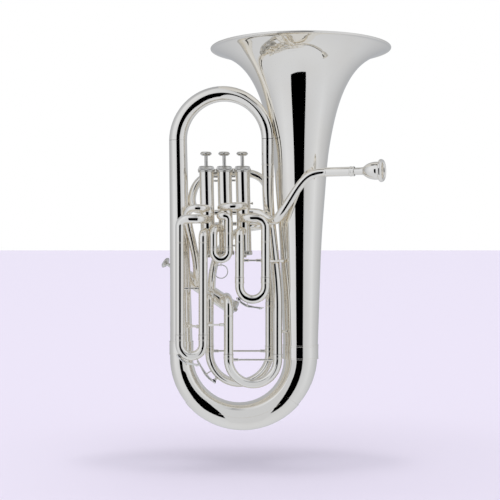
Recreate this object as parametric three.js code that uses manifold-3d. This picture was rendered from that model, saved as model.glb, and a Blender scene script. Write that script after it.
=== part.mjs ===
// A four-valve compensating euphonium, in millimetres, +Z up, the player's lap at the origin.
// +X points to the bell side, -Y to the front, where the three upper valve slides stand.
// Air path: mouthpiece, receiver, leadpipe, valves 1-2-3, valve 4, main slide, right branch,
// top bow, left branch, bottom bow, bell.

import * as THREE from 'three';
import { mergeVertices } from 'three/addons/utils/BufferGeometryUtils.js';
import Module from 'manifold-3d';

const wasm = await Module();
wasm.setup();

// ---- driving dimensions ----

const GAP = 0.3; // clearance left between soldered neighbours
const WALL = 0.8; // wall of every drawn tube
const SIDES = 8; // facets round a small tube
const BIG_SIDES = 12; // facets round the bows and branches
const BELL_SIDES = 24; // facets round the bell
const TURNED_SIDES = 12; // facets round a turned piece
const ARC_STEP = THREE.MathUtils.degToRad(36); // longest arc between two rings of a small bend
const WIDE_ARC_STEP = THREE.MathUtils.degToRad(22.5); // the same, on a wide bow

const BELL_X = 93.7; // the bell's axis
const RIM_R = 150; // a 12 inch bell
const RIM_Z = 636; // overall height
const BELL_FOOT_Z = 131; // where the bell meets the bottom bow

const BOW_R = 99.2; // centreline radius of the bottom bow
const BOW_Z = 122.86; // height of its centre
const BOW_X = BELL_X - BOW_R; // its centre line
const LEFT_X = BOW_X - BOW_R; // its narrow end
const LEFT_FOOT_Z = 137; // where the left branch meets the bow
const BOW_RADII = [28.5, 22.5, 18.8]; // outer radius at the bell, the bottom and the left end
const GUARD_THICKNESS = 0.75; // wear plate under the bottom bow
const GUARD_HALF_ANGLE = 52; // degrees each side of the lowest point

const SHOULDER_Z = 482.5; // where both legs of the top bow start
const TOP_LEFT = new THREE.Vector3(-110.4, 0, SHOULDER_Z);
const TOP_RIGHT = new THREE.Vector3(38.4, -28, SHOULDER_Z);
const TOP_RADII = [14.9, 12.8, 10];

const VALVE_Y = -10; // the plane of the three upper valves
const VALVE_FOOT_Z = 294; // lower end of their casings
const VALVE_1_X = 0.4; // axis of valve 1 at that height
const VALVE_PITCH = 30; // distance between neighbouring valves
const VALVE_LEAN = THREE.MathUtils.degToRad(-1.34); // the valve tops lean away from the bell
const CASING_R = 11.8;
const CASING_LENGTH = 137;
const CASING_WALL = 1.5;
const FOURTH_CASING_R = 12.4;
const FOURTH_CASING_LENGTH = 113;
const FOURTH_END = new THREE.Vector3(-12.3, 10, 198.4); // tip of valve 4's bottom knob
const FOURTH_BUTTON = new THREE.Vector3(-137.8, 38, 280.8); // its finger button
const KNOB_LENGTH = 6.5; // how far a bottom cap reaches below its casing
const CAP_HEIGHT = 7.8; // how far a top cap reaches above its casing
const VALVE_TRAVEL = 17;

const SLIDE_Y = -38; // plane of slides 1, 2 and 3
const MAIN_SLIDE_Y = -26;
const FOURTH_SLIDE_Y = -5;
const FOURTH_SLEEVE_TOP = 214; // where its right sleeve goes on as the compensating loop

const RECEIVER_START = new THREE.Vector3(131.5, -60, 425.5);
const RECEIVER_ANGLE = THREE.MathUtils.degToRad(22); // turned towards the player
const RECEIVER_LENGTH = 48.5;
const SHANK_DEPTH = 25; // how far the mouthpiece sits in the receiver

// ---- materials ----

const silver = new THREE.MeshStandardMaterial({ color: 0xe6e3dc, metalness: 1, roughness: 0.08 });
const nickel = new THREE.MeshStandardMaterial({ color: 0xc9c6bf, metalness: 1, roughness: 0.2 });
const steel = new THREE.MeshStandardMaterial({ color: 0x8d9094, metalness: 1, roughness: 0.35 });

const horn = new THREE.Group();

function addPiece(name, geometry, material = silver, parent = horn) {
  const mesh = new THREE.Mesh(geometry, material);
  mesh.name = name;
  parent.add(mesh);
  return mesh;
}

// ---- geometry helpers ----

const point = (x, y, z) => new THREE.Vector3(x, y, z);

/** A faceted tube's flats lie this share of its radius from its centre. */
const FLAT = Math.cos(Math.PI / SIDES);

/** Adds the distance along the path to each station, and drops stations that repeat. */
function measured(stations) {
  const path = [];
  for (const station of stations) {
    const last = path.at(-1);
    const step = last ? last.at.distanceTo(station.at) : 0;
    if (!last || step > 1e-3) {
      path.push({ ...station, distance: last ? last.distance + step : 0 });
    }
  }
  return path;
}

/** Straight stretches between corners, each corner rounded to a bend radius, or to one of its own. */
function bentPath(corners, bends, arcStep = ARC_STEP) {
  const along = (i) => corners[i + 1].clone().sub(corners[i]).normalize();
  const stations = [{ at: corners[0].clone(), tangent: along(0) }];
  for (let i = 1; i < corners.length - 1; i++) {
    const bend = Array.isArray(bends) ? bends[i - 1] : bends;
    const arriving = along(i - 1);
    const leaving = along(i);
    const angle = arriving.angleTo(leaving);
    const inward = leaving.clone().sub(arriving).normalize();
    const centre = corners[i].clone().addScaledVector(inward, bend / Math.cos(angle / 2));
    const start = corners[i].clone().addScaledVector(arriving, -bend * Math.tan(angle / 2));
    const spoke = start.sub(centre);
    const axis = arriving.clone().cross(leaving).normalize();
    const steps = Math.ceil(angle / arcStep - 1e-6);
    for (let k = 0; k <= steps; k++) {
      const turn = (angle * k) / steps;
      stations.push({
        at: spoke.clone().applyAxisAngle(axis, turn).add(centre),
        tangent: arriving.clone().applyAxisAngle(axis, turn),
      });
    }
  }
  stations.push({ at: corners.at(-1).clone(), tangent: along(corners.length - 2) });
  return measured(stations);
}

/** Pushes the middle of a crossing between two X positions out to the front. */
function bulged(path, x0, x1, bulge) {
  const half = Math.abs(x1 - x0) / 2;
  const moved = path.map(({ at, tangent }) => {
    const offset = (at.x - (x0 + x1) / 2) / half;
    if (Math.abs(offset) >= 1) {
      return { at, tangent };
    }
    const lean = tangent.clone();
    lean.y += (2 * bulge * offset * tangent.x) / half;
    return { at: at.clone().add(point(0, -bulge * (1 - offset * offset), 0)), tangent: lean.normalize() };
  });
  return measured(moved);
}

/** A smooth curve through the points, in equal steps. */
function smoothPath(points, steps) {
  const curve = new THREE.CatmullRomCurve3(points);
  const stations = [];
  for (let i = 0; i <= steps; i++) {
    stations.push({ at: curve.getPointAt(i / steps), tangent: curve.getTangentAt(i / steps) });
  }
  return measured(stations);
}

const lengthOf = (path) => path.at(-1).distance;

/** Radii given at equal parts of the path's length. */
const spread = (path, radii) => radii.map((r, i) => [(lengthOf(path) * i) / (radii.length - 1), r]);

const thinner = (profile, wall) => profile.map(([distance, r]) => [distance, r - wall]);

/** Radius at a distance, from a number or from [distance, radius] pairs. */
function radiusAt(profile, distance) {
  if (typeof profile === 'number') {
    return profile;
  }
  const next = profile.findIndex(([d]) => d >= distance);
  if (next <= 0) {
    return next < 0 ? profile.at(-1)[1] : profile[0][1];
  }
  const [d0, r0] = profile[next - 1];
  const [d1, r1] = profile[next];
  return d1 > d0 ? r0 + ((r1 - r0) * (distance - d0)) / (d1 - d0) : r1;
}

/** Place and direction at a distance along the path. */
function placeAt(path, distance) {
  const next = path.findIndex((station) => station.distance >= distance - 1e-6);
  if (next <= 0) {
    return next < 0 ? path.at(-1) : path[0];
  }
  const before = path[next - 1];
  const after = path[next];
  const share = (distance - before.distance) / (after.distance - before.distance);
  return {
    at: before.at.clone().lerp(after.at, share),
    tangent: before.tangent.clone().lerp(after.tangent, share).normalize(),
  };
}

/** The path's stations with an outer radius each; a step in the profile gives two at one place. */
function withRadii(path, profile) {
  const pairs = typeof profile === 'number' ? [[0, profile], [lengthOf(path), profile]] : profile;
  const rings = [{ ...placeAt(path, pairs[0][0]), distance: pairs[0][0], r: pairs[0][1] }];
  for (let i = 1; i < pairs.length; i++) {
    const [d0] = pairs[i - 1];
    const [d1, r1] = pairs[i];
    const between = path.filter((s) => s.distance > d0 + 0.05 && s.distance < d1 - 0.05);
    for (const station of between) {
      rings.push({ ...station, r: radiusAt([pairs[i - 1], pairs[i]], station.distance) });
    }
    rings.push({ ...placeAt(path, d1), distance: d1, r: r1 });
  }
  return rings;
}

/** A closed tube wall along a path, or a solid rod where inner is null. */
function tube(path, outer, inner, sides = SIDES) {
  const rings = withRadii(path, outer);
  const vertices = [];
  const faces = [];
  const normal = point(0, 1, 0);
  if (Math.abs(rings[0].tangent.y) > 0.9) {
    normal.set(1, 0, 0);
  }
  const addRing = (ring, r) => {
    const side = ring.tangent.clone().cross(normal);
    for (let k = 0; k < sides; k++) {
      const turn = (2 * Math.PI * k) / sides;
      const spoke = normal.clone().multiplyScalar(Math.cos(turn) * r);
      vertices.push(ring.at.clone().add(spoke).addScaledVector(side, Math.sin(turn) * r));
    }
  };
  const normals = [];
  for (const ring of rings) {
    normal.addScaledVector(ring.tangent, -normal.dot(ring.tangent)).normalize();
    addRing(ring, ring.r);
    normals.push(normal.clone());
  }
  if (inner !== null) {
    rings.forEach((ring, i) => {
      normal.copy(normals[i]);
      addRing(ring, radiusAt(inner, ring.distance));
    });
  }
  const quad = (a, b, c, d) => faces.push(a, b, c, a, c, d);
  const last = (rings.length - 1) * sides;
  const bore = rings.length * sides;
  for (let k = 0; k < sides; k++) {
    const next = (k + 1) % sides;
    for (let base = 0; base < last; base += sides) {
      quad(base + k, base + next, base + sides + next, base + sides + k);
      if (inner !== null) {
        quad(bore + base + next, bore + base + k, bore + base + sides + k, bore + base + sides + next);
      }
    }
    if (inner !== null) {
      quad(next, k, bore + k, bore + next);
      quad(last + k, last + next, bore + last + next, bore + last + k);
    } else {
      faces.push(next, k, vertices.length, last + k, last + next, vertices.length + 1);
    }
  }
  if (inner === null) {
    vertices.push(rings[0].at.clone(), rings.at(-1).at.clone());
  }
  const geometry = new THREE.BufferGeometry().setFromPoints(vertices);
  geometry.setIndex(faces);
  return outward(geometry);
}

/** Turns the faces round where they point in. */
function outward(geometry) {
  const at = geometry.attributes.position;
  const index = geometry.index;
  const corner = (i) => point().fromBufferAttribute(at, index.getX(i));
  let volume = 0;
  for (let i = 0; i < index.count; i += 3) {
    volume += corner(i).dot(corner(i + 1).cross(corner(i + 2)));
  }
  if (volume < 0) {
    for (let i = 0; i < index.count; i += 3) {
      const first = index.getX(i);
      index.setX(i, index.getX(i + 1));
      index.setX(i + 1, first);
    }
  }
  geometry.computeVertexNormals();
  return geometry;
}

/** Only the positions, with shared vertices merged. */
function bare(geometry) {
  const copy = geometry.clone();
  copy.deleteAttribute('normal');
  copy.deleteAttribute('uv');
  return mergeVertices(copy, 1e-4);
}

/** A turned piece about local Z from [radius, height] points. */
function turned(points, sides = TURNED_SIDES) {
  const lathe = new THREE.LatheGeometry(points.map(([r, z]) => new THREE.Vector2(r, z)), sides);
  lathe.rotateX(Math.PI / 2);
  return fromSolid(toSolid(outward(bare(lathe))));
}

/** A turned ring or sleeve: a closed outline that stays off the axis. */
const turnedRing = (points, sides) => turned([...points, points[0]], sides);

function toSolid(geometry) {
  const clean = bare(geometry);
  return new wasm.Manifold(new wasm.Mesh({
    numProp: 3,
    vertProperties: new Float32Array(clean.attributes.position.array),
    triVerts: new Uint32Array(clean.index.array),
  }));
}

function fromSolid(solid) {
  const mesh = solid.getMesh();
  const geometry = new THREE.BufferGeometry();
  geometry.setAttribute('position', new THREE.BufferAttribute(mesh.vertProperties, 3));
  geometry.setIndex(new THREE.BufferAttribute(mesh.triVerts, 1));
  geometry.computeVertexNormals();
  return geometry;
}

const joined = (...pieces) => fromSolid(pieces.map(toSolid).reduce((a, b) => a.add(b)));

function cut(piece, ...cutters) {
  return fromSolid(cutters.map(toSolid).reduce((a, b) => a.subtract(b), toSolid(piece)));
}

/** A round bar from one point to another. */
function bar(from, to, r, sides = 7) {
  const path = bentPath([from, to], 0);
  return tube(path, r, null, sides);
}

/** A soldered brace between two tubes: sunk into the first wall, just clear of the second. */
function brace(from, fromR, to, toR, r = 1.8) {
  const clearance = 0.4;
  const along = to.clone().sub(from).normalize();
  const start = from.clone().addScaledVector(along, fromR * FLAT - WALL / 2);
  const end = to.clone().addScaledVector(along, -toR - clearance);
  return bar(start, end, r, 6);
}

// ---- bell, bows and branches ----

/** Outer outline of the bell, from its foot to just under the rim bead. */
const BELL_OUTLINE = [
  [28.5, BELL_FOOT_Z], [31.4, 217], [35, 315], [41.8, 407], [46, 459], [55.8, 513], [62.6, 540],
  [72.9, 568], [84.5, 590], [97.5, 607], [113, 619.5], [131, 628.5], [146, 633.2],
];

function makeBell() {
  const bellWall = 0.9;
  const bead = 1.7;
  const beadZ = RIM_Z - bead;
  const wall = BELL_OUTLINE.map(([r, z], i) => {
    const [r0, z0] = BELL_OUTLINE[Math.max(i - 1, 0)];
    const [r1, z1] = BELL_OUTLINE[Math.min(i + 1, BELL_OUTLINE.length - 1)];
    const slope = Math.hypot(r1 - r0, z1 - z0);
    return [r - (bellWall * (z1 - z0)) / slope, z + (bellWall * (r1 - r0)) / slope];
  });
  const edge = [
    [RIM_R - 1.4, beadZ - bead], [RIM_R, beadZ - 0.6], [RIM_R, beadZ + 0.6],
    [RIM_R - 0.8, RIM_Z], [RIM_R - 2.4, RIM_Z], [RIM_R - 3.2, beadZ + 0.5],
  ];
  const bell = turnedRing([...BELL_OUTLINE, ...edge, ...wall.reverse()], BELL_SIDES);
  const mesh = addPiece('bell', bell);
  mesh.position.x = BELL_X;
}

function ringSleeve(name, x, lowZ, highZ, innerR, outerR) {
  const lip = 0.4;
  const band = 2;
  const sleeve = turnedRing([
    [innerR, lowZ], [outerR + lip, lowZ], [outerR + lip, lowZ + band], [outerR, lowZ + band],
    [outerR, highZ - band], [outerR + lip, highZ - band], [outerR + lip, highZ], [innerR, highZ],
  ], BELL_SIDES);
  addPiece(name, sleeve).position.x = x;
}

function bottomBowPath() {
  const low = BOW_Z - BOW_R;
  return bentPath([
    point(BELL_X, 0, BELL_FOOT_Z - GAP), point(BELL_X, 0, low), point(LEFT_X, 0, low),
    point(LEFT_X, 0, LEFT_FOOT_Z),
  ], BOW_R, WIDE_ARC_STEP);
}

function makeBottomBow() {
  const path = bottomBowPath();
  const outer = spread(path, BOW_RADII);
  addPiece('bottom_bow', tube(path, outer, thinner(outer, WALL), BIG_SIDES));
}

/** The wear plate covers the outer half of the bow round its lowest point. */
function makeBowGuard() {
  const path = bottomBowPath();
  const outer = spread(path, BOW_RADII);
  const low = point(BOW_X, 0, BOW_Z - BOW_R);
  const reach = BOW_R * 2 * Math.sin(THREE.MathUtils.degToRad(GUARD_HALF_ANGLE) / 2);
  const covered = path.filter((station) => station.at.distanceTo(low) < reach);
  const radii = covered.map((station) => [station.distance, radiusAt(outer, station.distance) + GAP]);
  const shell = tube(covered, thinner(radii, -GUARD_THICKNESS), radii, BIG_SIDES);
  const keepOut = new THREE.CylinderGeometry(BOW_R + 1, BOW_R + 1, 90, 40);
  keepOut.translate(BOW_X, 0, BOW_Z);
  addPiece('bow_guard', cut(shell, keepOut));
}

function makeLeftBranch() {
  const foot = point(LEFT_X, 0, LEFT_FOOT_Z + GAP);
  const path = bentPath([foot, TOP_LEFT.clone().setZ(SHOULDER_Z - GAP)], 0);
  const outer = spread(path, [BOW_RADII[2], 16.4, TOP_RADII[0]]);
  addPiece('left_branch', tube(path, outer, thinner(outer, WALL), BIG_SIDES));
}

function makeTopBow() {
  const bend = TOP_LEFT.distanceTo(TOP_RIGHT) / 2;
  const crown = SHOULDER_Z + bend;
  const path = bentPath(
    [TOP_LEFT, TOP_LEFT.clone().setZ(crown), TOP_RIGHT.clone().setZ(crown), TOP_RIGHT],
    bend, WIDE_ARC_STEP,
  );
  const outer = spread(path, TOP_RADII);
  addPiece('top_bow', tube(path, outer, thinner(outer, WALL), BIG_SIDES));
}

// ---- valves ----

/** Each valve: its place, size, and the frame that carries its pieces along local Z. */
function valveSpec(number) {
  if (number === 4) {
    const axis = FOURTH_BUTTON.clone().sub(FOURTH_END).normalize();
    return {
      number, axis, r: FOURTH_CASING_R, length: FOURTH_CASING_LENGTH,
      foot: FOURTH_END.clone().addScaledVector(axis, KNOB_LENGTH),
    };
  }
  return {
    number, r: CASING_R, length: CASING_LENGTH,
    axis: point(0, 0, 1).applyAxisAngle(point(0, 1, 0), VALVE_LEAN),
    foot: point(VALVE_1_X - VALVE_PITCH * (number - 1), VALVE_Y, VALVE_FOOT_Z),
  };
}

const VALVES = [1, 2, 3, 4].map(valveSpec);
const UP = point(0, 0, 1);

/** The place at a given height along a valve's axis. */
const onValve = (valve, height) => valve.foot.clone().addScaledVector(valve.axis, height);

/** The solid that a tube must stay out of, in the horn's frame. */
function keepOff(valve) {
  const margin = 2;
  const path = bentPath([onValve(valve, -margin), onValve(valve, valve.length + margin)], 0);
  return tube(path, (valve.r + GAP) / Math.cos(Math.PI / TURNED_SIDES), null, TURNED_SIDES);
}

/** Short tie bars and crossings from valve 2 to its neighbours. */
function neighbourBars(valve) {
  const bars = [[128, 2.2], [121, 1.8], [68.5, 4.6], [49, 3.4]];
  const reach = VALVE_PITCH - CASING_R - GAP - 0.1;
  return bars.flatMap(([height, r]) => [-1, 1].map((side) => (
    bar(point(side * (valve.r - 0.5), 0, height), point(side * reach, 0, height), r)
  )));
}

/** A thumb screw on the bell side of valve 1. */
function thumbScrew(valve) {
  const height = 83;
  const neck = bar(point(valve.r - 0.5, 0, height), point(valve.r + 2, 0, height), 1);
  const head = bar(point(valve.r + 1.5, 0, height), point(valve.r + 4.2, 0, height), 2.2);
  return [neck, head];
}

function makeCasing(valve, group) {
  const bore = valve.r - CASING_WALL;
  const shell = turnedRing([[bore, 0], [valve.r, 0], [valve.r, valve.length], [bore, valve.length]]);
  const extras = { 1: thumbScrew, 2: neighbourBars }[valve.number];
  const casing = extras ? joined(shell, ...extras(valve)) : shell;
  addPiece(`valve_${valve.number}_casing`, casing, silver, group);
}

function makeCaps(valve, group) {
  const bore = valve.r + GAP;
  const top = valve.length;
  const capR = valve.r + 2.2;
  const stemHole = 3.5;
  const topCap = turnedRing([
    [bore, top - 2.3], [capR, top - 2.3], [capR, top + 3], [capR - 1.9, top + 7.4],
    [capR - 2.6, top + CAP_HEIGHT], [stemHole, top + CAP_HEIGHT], [stemHole, top + 3],
    [valve.r - 2, top + 3], [valve.r - 2, top + GAP], [bore, top + GAP],
  ]);
  addPiece(`valve_${valve.number}_top_cap`, topCap, silver, group);
  const bottomCap = turned([
    [0, -KNOB_LENGTH], [3.4, -KNOB_LENGTH], [3.4, -3.4], [capR - 1, -2.4], [capR - 1, 5], [bore, 5],
    [bore, -GAP], [0, -GAP],
  ]);
  addPiece(`valve_${valve.number}_bottom_cap`, bottomCap, silver, group);
}

/** The piston rests against the top cap; pressing it closes the space over the spring. */
function makePiston(valve, group) {
  const springRoom = 28;
  const outer = valve.r - CASING_WALL - GAP;
  const inner = outer - 0.8;
  const top = valve.length - 4;
  const piston = turnedRing([
    [inner, springRoom], [outer, springRoom], [outer, top], [2, top], [2, top - 2], [inner, top - 2],
  ]);
  addPiece(`valve_${valve.number}_piston`, piston, nickel, group);
  const stemR = 3.1;
  const buttonR = 9.75;
  const buttonZ = valve.length + CAP_HEIGHT + VALVE_TRAVEL + 0.6;
  const button = turned([
    [0, top + GAP], [stemR, top + GAP], [stemR, buttonZ], [buttonR - 3, buttonZ], [buttonR, buttonZ + 2.6],
    [buttonR, buttonZ + 3.8], [buttonR - 2, buttonZ + 6.2], [0, buttonZ + 5.6],
  ]);
  addPiece(`valve_${valve.number}_finger_button`, button, silver, group);
  makeSpring(valve, group, springRoom - 2 * GAP);
}

function makeSpring(valve, group, height) {
  const wire = 0.65;
  const coilR = valve.r - 4.6;
  const turns = 4;
  const stepsPerTurn = 6;
  const stations = [];
  for (let i = 0; i <= turns * stepsPerTurn; i++) {
    const share = i / (turns * stepsPerTurn);
    const turn = share * turns * 2 * Math.PI;
    const z = wire + share * (height - 2 * wire);
    const rise = (height - 2 * wire) / (turns * 2 * Math.PI * coilR);
    stations.push({
      at: point(coilR * Math.cos(turn), coilR * Math.sin(turn), z),
      tangent: point(-Math.sin(turn), Math.cos(turn), rise).normalize(),
    });
  }
  addPiece(`valve_${valve.number}_spring`, tube(measured(stations), wire, null, 4), steel, group);
}

function makeValve(valve) {
  const group = new THREE.Group();
  group.position.copy(valve.foot);
  group.quaternion.setFromUnitVectors(UP, valve.axis);
  horn.add(group);
  makeCasing(valve, group);
  makeCaps(valve, group);
  makePiston(valve, group);
}

// ---- tuning slides ----

const LEG_STEP = 1.2; // a slide's leg is thinner than its bow by this much
const FERRULE_LIP = 0.7;
const FERRULE_LENGTH = 9;

/** The U-shaped slides: leg positions, bow height, end of the fixed sleeves and leg length. */
const SLIDES = {
  first: { x: [-7.6, 34.8], y: SLIDE_Y, bowZ: 240.6, r: 7.2, sleeveZ: 255.4, leg: 52 },
  second: { x: [-50.2, -25.4], y: SLIDE_Y, bowZ: 297.1, r: 6.4, sleeveZ: 304.5, leg: 19, ferrule: 5 },
  third: { x: [-104.7, -66.9], y: SLIDE_Y, bowZ: 146, r: 7.5, sleeveZ: 162, leg: 92 },
  main: { x: [-25.7, 54.7], y: MAIN_SLIDE_Y, bowZ: 120.7, r: 7.7, sleeveZ: 129.4, leg: 62, ferrule: 7 },
  fourth: { x: [-57.8, 41.9], y: FOURTH_SLIDE_Y, bowZ: 129.2, r: 7, sleeveZ: 140.8, leg: 58 },
};

const bowRadius = (slide) => (slide.x[1] - slide.x[0]) / 2;
const legRadius = (slide) => slide.r - LEG_STEP;
const sleeveBore = (slide) => slide.r - WALL;
const bowCentre = (slide) => point((slide.x[0] + slide.x[1]) / 2, slide.y, slide.bowZ);

function slideBody(slide) {
  const top = slide.sleeveZ + slide.leg;
  const low = slide.bowZ - bowRadius(slide);
  const path = bentPath([
    point(slide.x[0], slide.y, top), point(slide.x[0], slide.y, low),
    point(slide.x[1], slide.y, low), point(slide.x[1], slide.y, top),
  ], bowRadius(slide), bowRadius(slide) > 30 ? WIDE_ARC_STEP : ARC_STEP);
  const length = lengthOf(path);
  const ferruleStart = slide.leg + GAP;
  const ferruleEnd = ferruleStart + (slide.ferrule ?? FERRULE_LENGTH);
  const side = [
    [0, legRadius(slide)], [ferruleStart, legRadius(slide)], [ferruleStart, slide.r + FERRULE_LIP],
    [ferruleEnd, slide.r + FERRULE_LIP], [ferruleEnd, slide.r],
  ];
  const otherSide = side.map(([distance, r]) => [length - distance, r]).reverse();
  return tube(path, [...side, ...otherSide], legRadius(slide) - 0.6);
}

/** A brace that joins the two legs of a moving slide, sunk into both. */
function legBrace(slide, z) {
  const sunk = 0.9;
  const left = point(slide.x[0], slide.y, z);
  const right = point(slide.x[1], slide.y, z);
  return brace(left, slide.r, right, slide.r - sunk);
}

/** A fixed outer tube from a valve casing down to the slide; a ring marks the soldered joint. */
function sleeve(slide, corners, bends, valve, ringZ, bulge = 0) {
  const { x } = corners.at(-1);
  const foot = point(x, slide.y, slide.sleeveZ);
  const bent = bentPath([foot, ...corners.reverse()], bends);
  const path = bulge > 0 ? bulged(bent, x, corners.at(-1).x, bulge) : bent;
  const length = lengthOf(path);
  const ringAt = ringZ - slide.sleeveZ;
  const ringEnd = ringAt + 2;
  const ringR = slide.r + 0.5;
  const outer = [
    [0, slide.r], [ringAt, slide.r], [ringAt, ringR], [ringEnd, ringR], [ringEnd, slide.r],
    [length, slide.r],
  ];
  const wall = tube(path, outer, sleeveBore(slide));
  return valve ? cut(wall, keepOff(valve)) : wall;
}

function makeFirstSlide() {
  const slide = SLIDES.first;
  const valve = VALVES[0];
  const second = SLIDES.second;
  const [x0, x1] = slide.x;
  const high = 352.5; // the two places where tubes leave the casing
  const low = 331;
  const ringZ = 312;
  const braceZ = 283;
  const secondZ = 307;
  const right = sleeve(slide, [
    point(-1, VALVE_Y, high), point(-4.5, slide.y, high), point(x1, slide.y, high),
  ], [16, 17], valve, ringZ);
  const left = sleeve(slide, [point(-1, VALVE_Y, low), point(x0, slide.y, low)], 10, valve, ringZ);
  const onRight = point(x1, slide.y, braceZ - 1);
  const toBell = brace(onRight, slide.r, point(BELL_X, -8, braceZ - 1), 34);
  const onLeft = point(x0, slide.y, secondZ);
  const toSecond = brace(onLeft, slide.r, point(second.x[1], slide.y, secondZ), second.r);
  const between = brace(point(x0, slide.y, braceZ), slide.r, point(x1, slide.y, braceZ), slide.r);
  addPiece('first_slide_sleeve_right', joined(right, toBell));
  addPiece('first_slide_sleeve_left', joined(left, between, toSecond));
}

function makeSecondSlide() {
  const slide = SLIDES.second;
  const valve = VALVES[1];
  const [x0, x1] = slide.x;
  const ringZ = 326;
  const left = sleeve(slide, [point(-33, VALVE_Y, 335), point(x0, slide.y, 337)], 12, valve, ringZ);
  const right = sleeve(slide, [
    point(-34, VALVE_Y, 356), point(-41, slide.y, 356), point(x1, slide.y, 356),
  ], 7.3, valve, ringZ);
  addPiece('second_slide_sleeve_left', left);
  addPiece('second_slide_sleeve_right', right);
}

function makeThirdSlide() {
  const slide = SLIDES.third;
  const valve = VALVES[2];
  const [x0, x1] = slide.x;
  const high = 350.5;
  const ringZ = 311;
  const left = sleeve(slide, [
    point(-61, VALVE_Y, high), point(-64.5, slide.y, high), point(x0, slide.y, high),
  ], [12, 15], valve, ringZ, 9);
  const right = sleeve(slide, [point(-61, VALVE_Y, 329), point(x1, slide.y, 329)], 10, valve, ringZ);
  const between = brace(point(x0, slide.y, 237.5), slide.r, point(x1, slide.y, 237.5), slide.r);
  const branchZ = 174.5;
  const toBranch = brace(point(x1, slide.y, branchZ), slide.r, point(-105.3, 0, branchZ), BOW_RADII[2], 2.2);
  const main = SLIDES.main;
  const mainZ = 177.5;
  const toMain = brace(point(x1, slide.y, mainZ), slide.r, point(main.x[0], main.y, mainZ), main.r);
  addPiece('third_slide_sleeve_left', joined(left, between));
  addPiece('third_slide_sleeve_right', joined(right, toBranch, toMain));
}

/** The main slide's left sleeve; its right sleeve is the lower end of the right branch. */
function makeMainSleeve() {
  const slide = SLIDES.main;
  const left = sleeve(slide, [
    point(-36, 14, 214), point(slide.x[0], slide.y, 228),
  ], 16, VALVES[3], 191);
  addPiece('main_slide_sleeve', left);
}

function makeFourthSlide() {
  const slide = SLIDES.fourth;
  const [x0, x1] = slide.x;
  const left = sleeve(slide, [point(x0, 18, 227), point(x0, slide.y, 222)], 11, VALVES[3], 204);
  const right = sleeve(slide, [point(x1, slide.y, FOURTH_SLEEVE_TOP)], 0, null, 206);
  addPiece('fourth_slide_sleeve_left', left);
  addPiece('fourth_slide_sleeve_right', right);
}

// ---- water keys ----

/** The three water keys: cork, pivot and touch points round a slide's bow. */
const WATER_KEYS = {
  first: { cork: [-9.3, 219.2], pivot: [4.6, 209.3], touch: [28, 204.9] },
  third: { cork: [-106.3, 126.2], pivot: [-93.3, 116.2], touch: [-75.3, 112] },
  fourth: { cork: [-50.6, 82], pivot: [-63.6, 93.6], touch: [-77.5, 115.5] },
};

const BARREL_HALF = 3.4;

/** The nipple under the cork and the two saddle posts that hold the pivot. */
function keySeat(slide, key) {
  const centre = bowCentre(slide);
  const surface = bowRadius(slide) + slide.r * FLAT;
  const sunk = 1.3;
  const cork = point(key.cork[0], slide.y, key.cork[1]);
  const outwardAt = (p) => p.clone().sub(centre).normalize();
  const nippleEnd = cork.clone().addScaledVector(outwardAt(cork), -2.4);
  const nippleR = 2.6;
  const nippleStart = centre.clone().addScaledVector(outwardAt(cork), surface - sunk);
  const nipple = bar(nippleStart, nippleEnd, nippleR);
  const pivot = point(key.pivot[0], slide.y, key.pivot[1]);
  const posts = [-1, 1].map((side) => {
    const shift = point(0, side * (BARREL_HALF + GAP + 0.7), 0);
    const foot = centre.clone().addScaledVector(outwardAt(pivot), surface - 2 * sunk);
    return bar(foot.add(shift), pivot.clone().addScaledVector(outwardAt(pivot), 1.5).add(shift), 0.7, 5);
  });
  return [nipple, ...posts];
}

function makeWaterKey(name, slide, key) {
  const centre = bowCentre(slide);
  const [cork, pivot, touch] = [key.cork, key.pivot, key.touch].map(([x, z]) => point(x, slide.y, z));
  const outwardAt = (p) => p.clone().sub(centre).normalize();
  const lift = (p, height) => p.clone().addScaledVector(outwardAt(p), height);
  const cup = bar(lift(cork, -2), lift(cork, 1.8), 4.2);
  const lever = tube(smoothPath([lift(cork, 1), lift(pivot, 0.4), touch], 6), 1.4, null, 6);
  const half = point(0, BARREL_HALF, 0);
  const barrel = bar(pivot.clone().sub(half), pivot.clone().add(half), 1.8);
  const pad = bar(lift(touch, -1), lift(touch, 1.2), 4);
  addPiece(`water_key_${name}`, joined(cup, lever, barrel, pad), nickel);
}

// ---- slides that move, with their braces, water-key seats and the pull ring ----

const RING_R = 10.9;
const RING_WIRE = 0.9;

function makeMovingSlides() {
  const { first, second, third, main, fourth } = SLIDES;
  addPiece('first_slide', joined(slideBody(first), ...keySeat(first, WATER_KEYS.first)));
  addPiece('third_slide', joined(slideBody(third), ...keySeat(third, WATER_KEYS.third)));
  const fourthBrace = legBrace(fourth, fourth.bowZ + 3);
  addPiece('fourth_slide', joined(slideBody(fourth), fourthBrace, ...keySeat(fourth, WATER_KEYS.fourth)));
  addPiece('main_slide', joined(slideBody(main), legBrace(main, main.bowZ - 1)));
  const bottom = bowCentre(second).z - bowRadius(second) - second.r;
  const eye = new THREE.TorusGeometry(2.4, 0.7, 5, 8);
  eye.rotateY(Math.PI / 2);
  eye.translate(bowCentre(second).x, second.y, bottom - 2.2);
  addPiece('second_slide', joined(slideBody(second), eye));
  const ring = new THREE.TorusGeometry(RING_R, RING_WIRE, 5, 16);
  ring.rotateX(Math.PI / 2);
  addPiece('pull_ring', outward(bare(ring)), nickel)
    .position.set(bowCentre(second).x, second.y, bottom - 2.6 - RING_R);
  for (const name of Object.keys(WATER_KEYS)) {
    makeWaterKey(name, SLIDES[name], WATER_KEYS[name]);
  }
}

// ---- connecting tubes ----

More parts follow.
